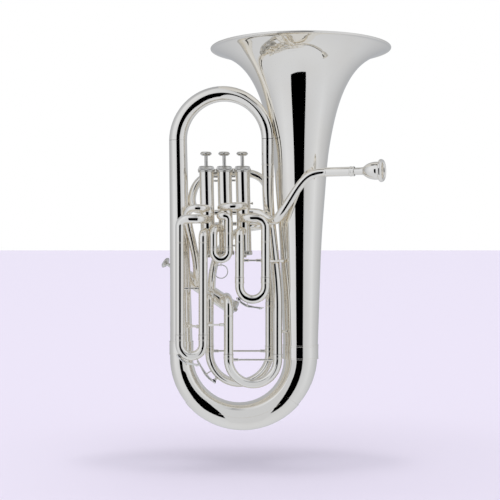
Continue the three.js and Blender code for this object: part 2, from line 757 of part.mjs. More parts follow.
function makeRightBranch() {
  const slide = SLIDES.main;
  const [, x] = slide.x;
  const path = smoothPath([
    TOP_RIGHT.clone().setZ(SHOULDER_Z - 2 * GAP), point(38.4, -27.8, 470), point(38.4, -26, 453),
    point(38.8, -22, 430), point(39.5, -13, 385), point(42, -4.6, 355), point(45.4, -8, 325),
    point(50, -15, 281), point(53.4, -22.5, 245), point(x, slide.y, 215), point(x, slide.y, 190),
    point(x, slide.y, 160), point(x, slide.y, slide.sleeveZ),
  ], 15);
  const length = lengthOf(path);
  const straight = 86; // the lower end has the main slide's size
  const outer = [[0, TOP_RADII[2]], [120, 9.1], [length - straight, slide.r], [length, slide.r]];
  const wall = tube(path, outer, thinner(outer, WALL));
  const toBell = brace(point(x, slide.y, 166), slide.r, point(BELL_X, 0, 166), 30.4, 2);
  addPiece('right_branch', joined(wall, toBell));
}

function makeLeadpipe() {
  const aim = point(Math.cos(RECEIVER_ANGLE), -Math.sin(RECEIVER_ANGLE), 0);
  const inReceiver = RECEIVER_START.clone().addScaledVector(aim, 9);
  const path = smoothPath([
    point(2, -10.5, 362.5), point(13, -11, 362.5), point(25, -14.5, 361.5), point(34, -20.5, 355.5),
    point(42.5, -25.5, 349.5), point(50.5, -34, 347.8), point(60, -43, 359.4), point(66.5, -46.5, 368.5),
    point(74.6, -49.5, 381.1), point(82.6, -51.5, 393.9), point(90.6, -52.7, 405.2),
    point(98.6, -53.6, 414.6), point(107.5, -54.8, 421.4), point(119.5, -56.2, 425),
    RECEIVER_START, inReceiver,
  ], 18);
  const outer = spread(path, [6.6, 7.1, 7.3, 6.8, 6.3]);
  addPiece('leadpipe', cut(tube(path, outer, thinner(outer, WALL)), keepOff(VALVES[0])));
}

/** The group that carries the receiver and mouthpiece along its local Z. */
function receiverGroup() {
  const group = new THREE.Group();
  const aim = point(Math.cos(RECEIVER_ANGLE), -Math.sin(RECEIVER_ANGLE), 0);
  group.position.copy(RECEIVER_START);
  group.quaternion.setFromUnitVectors(UP, aim);
  horn.add(group);
  return group;
}

function makeReceiver(group) {
  const outer = 7.4;
  const inner = 6.7;
  const end = RECEIVER_LENGTH;
  addPiece('mouthpiece_receiver', turnedRing([
    [inner, 0], [outer, 0], [outer, end - 8], [outer + 0.7, end - 7.4], [outer + 0.7, end - 1], [outer, end],
    [inner, end],
  ]), silver, group);
}

function makeMouthpiece(group) {
  const tip = RECEIVER_LENGTH - SHANK_DEPTH;
  const rim = RECEIVER_LENGTH + 47.5;
  addPiece('mouthpiece', turnedRing([
    [5.6, tip], [6.1, rim - 34], [8.4, rim - 30], [9.2, rim - 21], [13.2, rim - 7], [17.6, rim - 6],
    [18.2, rim - 3.5], [16.6, rim - 0.5], [14.6, rim], [12.8, rim - 2.4], [11.4, rim - 12], [8.4, rim - 20],
    [3.3, rim - 27], [4.9, tip],
  ]), silver, group);
}

function plainTube(name, points, steps, r, ...valves) {
  const wall = tube(smoothPath(points, steps), r, r - WALL);
  addPiece(name, cut(wall, ...valves.map(keepOff)));
}

function makeConnectingTubes() {
  const [valve1, valve2, valve3, valve4] = VALVES;
  const crossover = bentPath([
    point(-35, VALVE_Y, 370.5), point(-37, -33, 370.5), point(0.5, -33, 372.5), point(-1.5, VALVE_Y, 372.5),
  ], 17);
  const crossoverR = 6.5;
  const crossoverTube = tube(crossover, crossoverR, crossoverR - WALL);
  addPiece('crossover_tube', cut(crossoverTube, keepOff(valve1), keepOff(valve2)));
  plainTube('valve_3_to_4_tube', [
    point(-62, -12, 368.5), point(-64.5, -26, 368.5), point(-74, -31.5, 368.5), point(-88, -28, 367.5),
    point(-94.5, -20.5, 358), point(-92, -17.5, 343), point(-85.5, -8, 311), point(-80, 0, 280),
    point(-79, 8, 258), point(-78.6, 20, 240),
  ], 12, 6.4, valve3, valve4);
  const right = SLIDES.fourth.x[1];
  plainTube('compensating_loop', [
    point(right, FOURTH_SLIDE_Y, FOURTH_SLEEVE_TOP + 2 * GAP), point(right, FOURTH_SLIDE_Y, 224),
    point(right, -2, 248), point(right, 7, 290), point(right, 12, 340), point(41.4, 12.5, 385),
    point(35.5, 12.7, 412), point(20, 13, 425.5), point(-20, 13.5, 430.5), point(-58, 13.5, 427),
    point(-78, 12, 413), point(-86.5, 9, 395), point(-87.5, 5, 380), point(-83, -1, 369.5),
    point(-74, -6, 366), point(-63, -8, 366),
  ], 19, 6.7, valve3);
  plainTube('compensating_return', [
    point(2, -10, 341), point(14, -10, 341), point(24, -6, 341), point(30, 4, 341),
    point(24, 14, 340), point(10, 18, 338), point(-10, 18, 331), point(-30, 17, 315),
    point(-45, 13, 292), point(-53, 9, 262), point(-55.5, 18, 232),
  ], 16, 6.6, valve1, valve4);
}

// ---- the whole horn ----

makeBell();
ringSleeve('bell_ferrule', BELL_X, 119.2, 142.7, 29.4, 30);
makeBottomBow();
makeBowGuard();
ringSleeve('branch_ferrule', LEFT_X, 126, 148.3, 19.6, 20.3);
makeLeftBranch();
makeTopBow();
makeRightBranch();
VALVES.forEach(makeValve);
makeFirstSlide();
makeSecondSlide();
makeThirdSlide();
makeMainSleeve();
makeFourthSlide();
makeMovingSlides();
makeConnectingTubes();
makeLeadpipe();
const mouthEnd = receiverGroup();
makeReceiver(mouthEnd);
makeMouthpiece(mouthEnd);

export default horn;
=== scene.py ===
"""The looks of a four-valve euphonium in silver plate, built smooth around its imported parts."""
import math
import bmesh
import bpy
import numpy as np
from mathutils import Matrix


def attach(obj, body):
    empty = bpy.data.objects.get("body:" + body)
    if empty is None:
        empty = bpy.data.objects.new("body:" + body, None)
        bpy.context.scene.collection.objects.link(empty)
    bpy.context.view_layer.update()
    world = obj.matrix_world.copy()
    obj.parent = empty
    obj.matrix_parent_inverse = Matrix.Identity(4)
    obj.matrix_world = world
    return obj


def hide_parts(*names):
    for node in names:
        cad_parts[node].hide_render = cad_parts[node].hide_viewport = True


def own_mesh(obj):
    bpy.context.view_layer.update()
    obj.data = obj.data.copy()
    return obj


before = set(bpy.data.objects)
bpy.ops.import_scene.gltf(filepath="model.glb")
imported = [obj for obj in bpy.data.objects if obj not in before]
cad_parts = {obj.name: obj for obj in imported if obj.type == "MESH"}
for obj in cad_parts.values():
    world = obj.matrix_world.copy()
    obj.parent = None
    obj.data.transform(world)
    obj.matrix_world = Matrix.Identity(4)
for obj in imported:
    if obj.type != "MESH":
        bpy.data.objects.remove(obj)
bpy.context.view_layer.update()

# ---- driving dimensions, in millimetres, the same as the parts have ----

MM = 0.001
WALL = 0.8  # wall of every drawn tube
SIDES = 40  # facets round a tube
BIG_SIDES = 64  # facets round a bow or branch
BELL_SIDES = 144
ARC_STEP = math.radians(5)  # longest arc between two rings of a bend
STATION = 2.5  # distance between rings on a free curve
GAP = 0.3  # clearance between pieces that meet
SHARP = math.radians(38)  # edges turned by more than this stay crisp

BELL_X = 93.7
RIM_R = 150.0
RIM_Z = 636.0
BELL_FOOT_Z = 131.0

BOW_R = 99.2
BOW_Z = 122.86
BOW_X = BELL_X - BOW_R
LEFT_X = BOW_X - BOW_R
LEFT_FOOT_Z = 137.0
BOW_RADII = [28.5, 22.5, 18.8]
GUARD_HALF_ANGLE = math.radians(52)
GUARD_LIFT = 0.3  # clearance between bow and guard
GUARD_THICKNESS = 0.75

SHOULDER_Z = 482.5
TOP_LEFT = (-110.4, 0, SHOULDER_Z)
TOP_RIGHT = (38.4, -28, SHOULDER_Z)
TOP_RADII = [14.9, 12.8, 10]

VALVE_Y = -10.0
VALVE_FOOT_Z = 294.0
VALVE_1_X = 0.4
VALVE_PITCH = 30.0
VALVE_LEAN = math.radians(-1.34)
CASING_R = 11.8
CASING_LENGTH = 137.0
CASING_WALL = 1.5
FOURTH_CASING_R = 12.4
FOURTH_CASING_LENGTH = 113.0
FOURTH_END = (-12.3, 10, 198.4)
FOURTH_BUTTON = (-137.8, 38, 280.8)
KNOB_LENGTH = 6.5
CAP_HEIGHT = 7.8  # how far a top cap reaches above its casing
VALVE_TRAVEL = 17.0

SLIDE_Y = -38.0
MAIN_SLIDE_Y = -26.0
FOURTH_SLIDE_Y = -5.0
FOURTH_SLEEVE_TOP = 214.0
LEG_STEP = 1.2
FERRULE_LIP = 0.7
FERRULE_LENGTH = 9.0

RECEIVER_START = (131.5, -60, 425.5)
RECEIVER_ANGLE = math.radians(22)
RECEIVER_LENGTH = 48.5
SHANK_DEPTH = 25.0

UP = np.array((0.0, 0.0, 1.0))


# ---- vectors and paths ----

def vec(*xyz):
    return np.array(xyz, float)


def unit(v):
    return v / np.linalg.norm(v)


def turned_about(v, axis, angle):
    """v turned about a unit axis."""
    c, s = math.cos(angle), math.sin(angle)
    return v * c + np.cross(axis, v) * s + axis * (axis @ v) * (1 - c)


class Path:
    """Points along a centreline, with the direction and the distance at each."""

    def __init__(self, points, tangents):
        points, tangents = np.array(points, float), np.array(tangents, float)
        steps = np.linalg.norm(np.diff(points, axis=0), axis=1)
        keep = np.concatenate([[True], steps > 1e-3])
        self.points, self.tangents = points[keep], tangents[keep]
        steps = np.linalg.norm(np.diff(self.points, axis=0), axis=1)
        self.distances = np.concatenate([[0], np.cumsum(steps)])
        self.length = self.distances[-1]

    def at(self, distance):
        point = [np.interp(distance, self.distances, self.points[:, i]) for i in range(3)]
        tangent = [np.interp(distance, self.distances, self.tangents[:, i]) for i in range(3)]
        return np.array(point), unit(np.array(tangent))

    def part(self, start, end):
        """The stretch between two distances."""
        inside = (self.distances > start + 0.05) & (self.distances < end - 0.05)
        first, last = self.at(start), self.at(end)
        points = [first[0], *self.points[inside], last[0]]
        return Path(points, [first[1], *self.tangents[inside], last[1]])


def bent(corners, *bends):
    """Straight stretches between corners, each corner rounded to its own bend radius."""
    corners = [np.array(c, float) for c in corners]
    ways = [unit(b - a) for a, b in zip(corners, corners[1:])]
    points, tangents = [corners[0]], [ways[0]]
    for i, corner in enumerate(corners[1:-1]):
        bend = bends[min(i, len(bends) - 1)]
        arriving, leaving = ways[i], ways[i + 1]
        angle = math.acos(max(-1, min(1, arriving @ leaving)))
        centre = corner + unit(leaving - arriving) * bend / math.cos(angle / 2)
        spoke = corner - arriving * bend * math.tan(angle / 2) - centre
        axis = unit(np.cross(arriving, leaving))
        steps = max(2, math.ceil(angle / ARC_STEP))
        for k in range(steps + 1):
            turn = angle * k / steps
            points.append(centre + turned_about(spoke, axis, turn))
            tangents.append(turned_about(arriving, axis, turn))
    return Path(points + [corners[-1]], tangents + [ways[-1]])


def bulged(path, x0, x1, bulge):
    """Pushes the middle of a crossing between two X positions out to the front."""
    middle, half = (x0 + x1) / 2, abs(x1 - x0) / 2
    offset = np.clip((path.points[:, 0] - middle) / half, -1, 1)
    points, tangents = path.points.copy(), path.tangents.copy()
    points[:, 1] -= bulge * (1 - offset ** 2)
    tangents[:, 1] += np.where(abs(offset) < 1, 2 * bulge * offset * tangents[:, 0] / half, 0)
    return Path(points, row_units(tangents))


def catmull(points, per_span=24):
    """Points on a centripetal Catmull-Rom curve."""
    first, last = 2 * points[0] - points[1], 2 * points[-1] - points[-2]
    padded = [first, *points, last]
    out = []
    for p0, p1, p2, p3 in zip(padded, padded[1:], padded[2:], padded[3:]):
        d0, d1, d2 = (math.sqrt(np.linalg.norm(b - a)) for a, b in ((p0, p1), (p1, p2), (p2, p3)))
        m1 = ((p1 - p0) / d0 - (p2 - p0) / (d0 + d1) + (p2 - p1) / d1) * d1
        m2 = ((p2 - p1) / d1 - (p3 - p1) / (d1 + d2) + (p3 - p2) / d2) * d1
        for k in range(per_span):
            t = k / per_span
            a, b = 3 * (p2 - p1) - 2 * m1 - m2, 2 * (p1 - p2) + m1 + m2
            out.append(p1 + m1 * t + a * t * t + b * t ** 3)
    return np.array(out + [points[-1]])


def eased(points, rounds):
    """Evens out the bends of a line, with its ends and end directions kept."""
    points = points.copy()
    for _ in range(rounds):
        points[2:-2] = (points[1:-3] + 2 * points[2:-2] + points[3:-1]) / 4
    return points


def evenly(points, spacing):
    """The same line in equal steps."""
    distances = np.concatenate([[0], np.cumsum(np.linalg.norm(np.diff(points, axis=0), axis=1))])
    count = max(2, round(distances[-1] / spacing))
    marks = np.linspace(0, distances[-1], count + 1)
    return np.stack([np.interp(marks, distances, points[:, i]) for i in range(points.shape[1])], 1)


def row_units(rows):
    return rows / np.linalg.norm(rows, axis=1)[:, None]


def along_line(points):
    return Path(points, row_units(np.gradient(points, axis=0)))


def smooth(points, ease=14):
    """A smooth path through, or very near, the points."""
    line = evenly(catmull([np.array(p, float) for p in points]), STATION)
    return along_line(eased(line, ease))


def spread(path, radii):
    """Radii given at equal parts of the path's length, with a smooth run between them."""
    marks = np.linspace(0, path.length, len(radii))
    fine = np.linspace(0, path.length, 25)
    fit = np.polyfit(marks, radii, min(2, len(radii) - 1))
    return list(zip(fine, np.polyval(fit, fine)))


def filleted(outline, size=0.3, steps=3, closed=False):
    """The outline with each corner rounded, and a support point at each side of the round."""
    points = [np.array(p, float) for p in outline]
    count = len(points)
    out = [] if closed else [points[0]]
    for i in range(0 if closed else 1, count if closed else count - 1):
        before, corner, after = points[i - 1], points[i], points[(i + 1) % count]
        back, on = before - corner, after - corner
        reach = min(size, np.linalg.norm(back) * 0.4, np.linalg.norm(on) * 0.4)
        if reach < 1e-3 or unit(back) @ unit(on) < -0.996:
            out.append(corner)
            continue
        start, end = corner + unit(back) * reach, corner + unit(on) * reach
        out.append(start + unit(back) * reach * 0.2)
        for k in range(steps + 1):
            t = k / steps
            out.append(start * (1 - t) ** 2 + 2 * corner * t * (1 - t) + end * t * t)
        out.append(end + unit(on) * reach * 0.2)
    return out if closed else out + [points[-1]]


# ---- meshes ----

class Shape:
    """Points and faces, gathered from several closed shells."""

    def __init__(self):
        self.points, self.faces, self.count = [], [], 0

    def add(self, points, faces):
        self.faces += [tuple(i + self.count for i in face) for face in faces]
        self.points.append(np.array(points, float))
        self.count += len(points)
        return self

    def merge(self, *others):
        for other in others:
            self.points += other.points
            self.faces += [tuple(i + self.count for i in face) for face in other.faces]
            self.count += other.count
        return self

    def moved(self, matrix, origin):
        self.points = [block @ matrix.T + origin for block in self.points]
        return self


def ring_faces(rows, sides, start=0, flip=False):
    """Quads between successive rings of points."""
    faces = []
    for i in range(rows - 1):
        for k in range(sides):
            a, b = start + i * sides + k, start + i * sides + (k + 1) % sides
            face = (a, b, b + sides, a + sides)
            faces.append(face[::-1] if flip else face)
    return faces


def closing_faces(rows, sides):
    """Quads from the last ring of points back to the first."""
    last = (rows - 1) * sides
    return [(last + k, last + (k + 1) % sides, (k + 1) % sides, k) for k in range(sides)]


def end_faces(rows, sides):
    """Triangles that close both end rings on two centres, which come after the rings."""
    faces, last = [], (rows - 1) * sides
    for k in range(sides):
        n = (k + 1) % sides
        faces += [(n, k, rows * sides), (last + k, last + n, rows * sides + 1)]
    return faces


def radius_on(profile, distance):
    return float(np.interp(distance, [d for d, _ in profile], [r for _, r in profile]))


def stations_of(path, profile):
    """(point, direction, radius) at each ring of a sweep; a profile may step at one distance."""
    if not isinstance(profile, list):
        profile = [(0, profile), (path.length, profile)]
    rows = []
    for (d0, r0), (d1, r1) in zip(profile, profile[1:]):
        rows.append((*path.at(d0), r0))
        inside = path.distances[(path.distances > d0 + 0.05) & (path.distances < d1 - 0.05)]
        for d in inside:
            rows.append((*path.at(d), r0 + (r1 - r0) * (d - d0) / (d1 - d0)))
    rows.append((*path.at(profile[-1][0]), profile[-1][1]))
    return rows


def onto_casing(point, way, valve, depth=0.5):
    """The place where a line from a point enters the casing's wall."""
    foot, axis, r = valve["foot"], valve["axis"], valve["r"] - depth
    rel = point - foot
    flat, way_flat = rel - axis * (rel @ axis), way - axis * (way @ axis)
    a, b, c = way_flat @ way_flat, flat @ way_flat, flat @ flat - r * r
    inside = b * b - a * c
    travel = (-b - math.sqrt(inside)) / a if inside > 0 else -b / a
    return point + way * travel


def sweep(path, outer, bore=None, sides=SIDES, meets=(None, None)):
    """A tube wall, or a rod, along a path. Its ends may meet valve casings."""
    normal = vec(0, 1, 0) if abs(path.tangents[0][1]) < 0.9 else vec(1, 0, 0)
    turns = np.linspace(0, 2 * math.pi, sides, endpoint=False)

    def rings(profile):
        held, rows = normal, []
        for at, way, r in stations_of(path, profile):
            held = unit(held - way * (held @ way))
            side = np.cross(way, held)
            rows.append(at + r * (np.outer(np.cos(turns), held) + np.outer(np.sin(turns), side)))
        for end, valve in ((0, meets[0]), (-1, meets[1])):
            if valve:
                way = path.tangents[end] * (1 if end else -1)
                rows[end] = np.array([onto_casing(p, way, valve) for p in rows[end]])
        return rows

    outside = rings(outer)
    count = len(outside)
    if bore is None:
        centres = [outside[0].mean(0), outside[-1].mean(0)]
        faces = ring_faces(count, sides) + end_faces(count, sides)
        return Shape().add(np.concatenate([*outside, centres]), faces)
    inside = rings(bore)
    start = count * sides
    faces = ring_faces(count, sides) + ring_faces(len(inside), sides, start, flip=True)
    last, last_in = (count - 1) * sides, start + (len(inside) - 1) * sides
    for k in range(sides):
        n = (k + 1) % sides
        faces.append((n, k, start + k, start + n))
        faces.append((last + k, last + n, last_in + n, last_in + k))
    return Shape().add(np.concatenate([*outside, *inside]), faces)


def lathe(outline, sides=SIDES, knurl=None):
    """A turned piece about Z. An outline off the axis closes on itself.

    knurl is (low, high, depth), cut only into the outer surface.
    """
    turns = np.linspace(0, 2 * math.pi, sides, endpoint=False)
    on_axis = outline[0][0] < 1e-6
    rows = outline[1:-1] if on_axis else outline
    outside = 0.75 * max(r for r, _ in outline)
    points = []
    for r, z in rows:
        radii = np.full(sides, float(r))
        if knurl and r > outside and knurl[0] < z < knurl[1]:
            radii[::2] -= knurl[2]
        ring = [radii * np.cos(turns), radii * np.sin(turns), np.full(sides, z)]
        points.append(np.stack(ring, 1))
    count = len(points)
    faces = ring_faces(count, sides)
    if on_axis:
        ends = [vec(0, 0, outline[0][1]), vec(0, 0, outline[-1][1])]
        faces += end_faces(count, sides)
        return Shape().add(np.concatenate([*points, ends]), faces)
    return Shape().add(np.concatenate(points), faces + closing_faces(count, sides))


def along(shape, start, way):
    """Stands a turned piece on a point, with its Z along a direction."""
    z = unit(np.array(way, float))
    x = unit(np.cross(UP, z)) if abs(z[2]) < 0.999 else vec(1, 0, 0)
    y = np.cross(z, x)
    return shape.moved(np.stack([x, y, z], 1), np.array(start, float))


def rod(start, end, r, sides=20):
    """A round bar with eased ends."""
    length = np.linalg.norm(np.array(end, float) - start)
    outline = filleted([(0, 0), (r, 0), (r, length), (0, length)], 0.25)
    return along(lathe(outline, sides), start, np.array(end, float) - start)


def ball(centre, r, squash, way, sides=24):
    """A rounded head."""
    steps = 10
    arc = [(r * math.sin(math.pi * k / steps), -r * squash * math.cos(math.pi * k / steps))
           for k in range(steps + 1)]
    arc[0], arc[-1] = (0, arc[0][1]), (0, arc[-1][1])
    return along(lathe(arc, sides), centre, way)


def hoop(centre, ring_r, wire, axis, sides=16, steps=64):
    """A closed ring of wire."""
    points = []
    for i in range(steps):
        turn = 2 * math.pi * i / steps
        out = vec(math.cos(turn), math.sin(turn), 0)
        for k in range(sides):
            spin = 2 * math.pi * k / sides
            points.append(out * (ring_r + wire * math.cos(spin)) + UP * wire * math.sin(spin))
    faces = ring_faces(steps, sides) + closing_faces(steps, sides)
    return along(Shape().add(points, faces), centre, axis)


def placed(name, data):
    """A new object in the scene."""
    obj = bpy.data.objects.new(name, data)
    bpy.context.scene.collection.objects.link(obj)
    return obj


def piece(name, shape, material, body="root", node=None):
    """Makes the object, sets its body and finish, and hides the part that it stands for."""
    points = np.concatenate(shape.points) * MM
    mesh = bpy.data.meshes.new(name)
    mesh.from_pydata(points.tolist(), [], shape.faces)
    mesh.validate()
    mesh.shade_smooth()
    mesh.set_sharp_from_angle(angle=SHARP)
    mesh.materials.append(material)
    obj = placed(name, mesh)
    turn_out(mesh)
    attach(obj, body)
    if node:
        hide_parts(node)
    return obj


def turn_out(mesh):
    """Turns every shell's faces outwards."""
    work = bmesh.new()
    work.from_mesh(mesh)
    bmesh.ops.recalc_face_normals(work, faces=work.faces)
    work.to_mesh(mesh)
    work.free()


# ---- materials ----

def new_material(name, colour, roughness, metallic=1.0):
    """A material with its shader, and the node tree to give it detail."""
    material = bpy.data.materials.new(name)
    material.use_nodes = True
    tree = material.node_tree
    shader = tree.nodes["Principled BSDF"]
    shader.inputs["Base Color"].default_value = (*colour, 1)
    shader.inputs["Roughness"].default_value = roughness
    shader.inputs["Metallic"].default_value = metallic
    return material, tree, shader


def noise(tree, scale, detail=2.0, stretch=None):
    """A noise in the piece's own coordinates, whose scale is per metre."""
    place = tree.nodes.new("ShaderNodeTexCoord")
    texture = tree.nodes.new("ShaderNodeTexNoise")
    texture.inputs["Scale"].default_value = scale
    texture.inputs["Detail"].default_value = detail
    out = place.outputs["Object"]
    if stretch:
        mapping = tree.nodes.new("ShaderNodeMapping")
        mapping.inputs["Scale"].default_value = stretch
        tree.links.new(out, mapping.inputs["Vector"])
        out = mapping.outputs["Vector"]
    tree.links.new(out, texture.inputs["Vector"])
    return texture.outputs["Fac"]


def ramp(tree, value, stops):
    """Colours or greys picked along a value."""
    node = tree.nodes.new("ShaderNodeValToRGB")
    elements = node.color_ramp.elements
    for i, (at, colour) in enumerate(stops):
        element = elements[i] if i < 2 else elements.new(at)
        element.position = at
        rgb = (colour,) * 3 if isinstance(colour, (int, float)) else colour
        element.color = (*rgb, 1)
    tree.links.new(value, node.inputs["Fac"])
    return node.outputs["Color"]


def finish(name, colour, roughness, tint, dull=None, relief=None, metallic=1.0):
    """A finish whose colour, roughness and relief each vary along a noise.

    tint and dull are (noise, stop, stop), and relief is (noise, strength, distance).
    """
    material, tree, shader = new_material(name, colour, roughness, metallic)
    for socket, varied in (("Base Color", tint), ("Roughness", dull)):
        if varied:
            grain, *stops = varied
            tree.links.new(ramp(tree, noise(tree, *grain), stops), shader.inputs[socket])
    if relief:
        grain, strength, distance = relief
        node = tree.nodes.new("ShaderNodeBump")
        node.inputs["Strength"].default_value = strength
        node.inputs["Distance"].default_value = distance
        tree.links.new(noise(tree, *grain), node.inputs["Height"])
        tree.links.new(node.outputs["Normal"], shader.inputs["Normal"])
    return material


# Polished silver plate: a mirror with faint tarnish and the fine wiping marks of a cloth.
SILVER = finish(
    "silver_plate", (0.95, 0.925, 0.875), 0.05,
    ((14, 4), (0.35, (0.952, 0.922, 0.86)), (0.75, (0.928, 0.888, 0.815))),
    ((260, 3, (1, 1, 0.25)), (0.3, 0.022), (0.8, 0.06)), ((38, 1), 0.05, 0.0004))
# Nickel silver of the keys and the ring, a little duller than the plate.
KEY_METAL = finish(
    "key_metal", (0.9, 0.885, 0.86), 0.1,
    ((90, 3), (0.3, (0.93, 0.92, 0.90)), (0.8, (0.84, 0.82, 0.785))),
    ((500, 2), (0.3, 0.06), (0.8, 0.15)), ((900, 2), 0.06, 0.0001))
# Silver plate on the caps and buttons, made greyer with painted shade for the darker look these
# parts have, and a little rougher.
PAINTED_SHADE_PLATE = finish(
    "painted_shade_plate", (0.74, 0.72, 0.68), 0.14,
    ((120, 4), (0.3, (0.82, 0.80, 0.755)), (0.75, (0.62, 0.60, 0.555))),
    ((600, 2), (0.3, 0.08), (0.8, 0.2)), ((120, 4), 0.08, 0.0002))
# Honed monel, with marks that run round the piston.
HONED = (40, 4, (1, 1, 60))
PISTON_METAL = finish(
    "piston_metal", (0.72, 0.7, 0.67), 0.22,
    (HONED, (0.3, (0.66, 0.64, 0.61)), (0.7, (0.78, 0.765, 0.74))),
    (HONED, (0.3, 0.16), (0.7, 0.3)), (HONED, 0.1, 0.0001))
# Drawn spring wire.
SPRING_STEEL = finish(
    "spring_steel", (0.45, 0.46, 0.48), 0.32,
    ((1500, 3), (0.3, (0.36, 0.37, 0.39)), (0.8, (0.55, 0.56, 0.58))),
    ((1500, 3), (0.3, 0.25), (0.8, 0.42)))
# Black rubber of the water-key pads, with a fine grain.
PAD_RUBBER = finish(
    "pad_rubber", (0.02, 0.02, 0.022), 0.7,
    ((1400, 5), (0.35, (0.012, 0.012, 0.013)), (0.65, (0.035, 0.035, 0.037))),
    relief=((1400, 5), 0.6, 0.0004), metallic=0.0)


# ---- bell, bows and branches ----

BELL_OUTLINE = [
    (28.5, BELL_FOOT_Z), (31.4, 217), (35, 315), (41.8, 407), (46, 459), (55.8, 513), (62.6, 540),
    (72.9, 568), (84.5, 590), (97.5, 607), (113, 619.5), (131, 628.5), (146, 633.2),
]


def make_bell():
    """The bell's wall follows one smooth line up to a rolled rim."""
    bell_wall, bead = 0.9, 1.7
    line = catmull([np.array(p, float) for p in BELL_OUTLINE])
    line = eased(evenly(line, 5), 24)
    slope = row_units(np.gradient(line, axis=0))
    inner = line + bell_wall * np.stack([-slope[:, 1], slope[:, 0]], 1)
    bead_z = RIM_Z - bead
    turns = np.linspace(math.radians(-125), math.radians(160), 15)
    roll = [(RIM_R - bead + bead * math.cos(t), bead_z + bead * math.sin(t)) for t in turns]
    outline = [*line.tolist(), *roll, *inner[::-1].tolist()]
    shape = lathe(outline, BELL_SIDES)
    piece("bell_body", along(shape, (BELL_X, 0, 0), UP), SILVER, node="bell")


def ferrule(name, x, low, high, inner, outer):
    """A soldered sleeve with a raised band at each end and a fine groove beside it."""
    lip, band, groove = 0.25, 2.0, 0.35
    outline = [
        (inner, low), (outer + lip, low), (outer + lip, low + band), (outer - groove, low + band),
        (outer - groove, low + band + 0.5), (outer, low + band + 0.5), (outer, high - band - 0.5),
        (outer - groove, high - band - 0.5), (outer - groove, high - band),
        (outer + lip, high - band), (outer + lip, high), (inner, high),
    ]
    shape = lathe(filleted(outline, 0.25, closed=True), BIG_SIDES * 2)
    piece(name + "_body", along(shape, (x, 0, 0), UP), SILVER, node=name)


def bottom_bow_path():
    low = BOW_Z - BOW_R
    foot = BELL_FOOT_Z - GAP
    corners = [(BELL_X, 0, foot), (BELL_X, 0, low), (LEFT_X, 0, low), (LEFT_X, 0, LEFT_FOOT_Z)]
    return bent(corners, BOW_R)


def thinner(profile, wall):
    return [(d, r - wall) for d, r in profile]


def make_bottom_bow():
    path = bottom_bow_path()
    outer = spread(path, BOW_RADII)
    piece("bottom_bow_body", sweep(path, outer, thinner(outer, WALL), BIG_SIDES), SILVER,
          node="bottom_bow")


def make_bow_guard():
    """The wear plate wraps the outer half of the bow round its lowest point."""
    path = bottom_bow_path()
    outer = spread(path, BOW_RADII)
    low = vec(BOW_X, 0, BOW_Z - BOW_R)
    reach = 2 * BOW_R * math.sin(GUARD_HALF_ANGLE / 2)
    near = [d for p, d in zip(path.points, path.distances) if np.linalg.norm(p - low) < reach]
    rows, columns = 70, 40
    shape = Shape()
    points = []
    for lift in (GUARD_LIFT + GUARD_THICKNESS, GUARD_LIFT):
        for i in range(rows + 1):
            distance = near[0] + (near[-1] - near[0]) * i / rows
            at, _ = path.at(distance)
            out = unit(at - vec(BOW_X, 0, BOW_Z))
            r = radius_on(outer, distance) + lift
            for k in range(columns + 1):
                turn = math.pi * (k / columns - 0.5)
                points.append(at + r * (out * math.cos(turn) + vec(0, 1, 0) * math.sin(turn)))
    width = columns + 1
    block = (rows + 1) * width
    faces = []
    for i in range(rows):
        for k in range(columns):
            a = i * width + k
            faces.append((a, a + 1, a + 1 + width, a + width))
            faces.append((a + block, a + width + block, a + 1 + width + block, a + 1 + block))
    rim = [*range(width), *((i + 1) * width + columns for i in range(rows)),
           *(rows * width + k for k in range(columns - 1, -1, -1)),
           *(i * width for i in range(rows - 1, 0, -1))]
    faces += [(a, b, b + block, a + block) for a, b in zip(rim, rim[1:] + rim[:1])]
    piece("bow_guard_plate", shape.add(points, faces), SILVER, node="bow_guard")


def make_left_branch():
    foot = (LEFT_X, 0, LEFT_FOOT_Z + GAP)
    path = smooth([foot, (TOP_LEFT[0], 0, SHOULDER_Z - GAP)])
    outer = spread(path, [BOW_RADII[2], 16.4, TOP_RADII[0]])
    piece("left_branch_tube", sweep(path, outer, thinner(outer, WALL), BIG_SIDES), SILVER,
          node="left_branch")


def make_top_bow():
    left, right = vec(*TOP_LEFT), vec(*TOP_RIGHT)
    bend = np.linalg.norm(left - right) / 2
    crown = UP * bend
    path = bent([left, left + crown, right + crown, right], bend)
    outer = spread(path, TOP_RADII)
    shape = sweep(path, outer, thinner(outer, WALL), BIG_SIDES)
    piece("top_bow_tube", shape, SILVER, node="top_bow")


# ---- valves ----

def valve_spec(number):
    """Each valve's place, size and axis."""
    if number == 4:
        axis = unit(vec(*FOURTH_BUTTON) - vec(*FOURTH_END))
        return {"number": 4, "r": FOURTH_CASING_R, "length": FOURTH_CASING_LENGTH,
                "axis": axis, "foot": vec(*FOURTH_END) + axis * KNOB_LENGTH}
    return {"number": number, "r": CASING_R, "length": CASING_LENGTH,
            "axis": vec(math.sin(VALVE_LEAN), 0, math.cos(VALVE_LEAN)),
            "foot": vec(VALVE_1_X - VALVE_PITCH * (number - 1), VALVE_Y, VALVE_FOOT_Z)}


VALVES = [valve_spec(number) for number in (1, 2, 3, 4)]


def across(valve):
    return unit(np.cross(vec(0, 1, 0), valve["axis"]))


def on_valve(valve, height, side):
    """A point beside a valve's axis, towards +X."""
    return valve["foot"] + valve["axis"] * height + across(valve) * side


def stood(shape, valve):
    return along(shape, valve["foot"], valve["axis"])


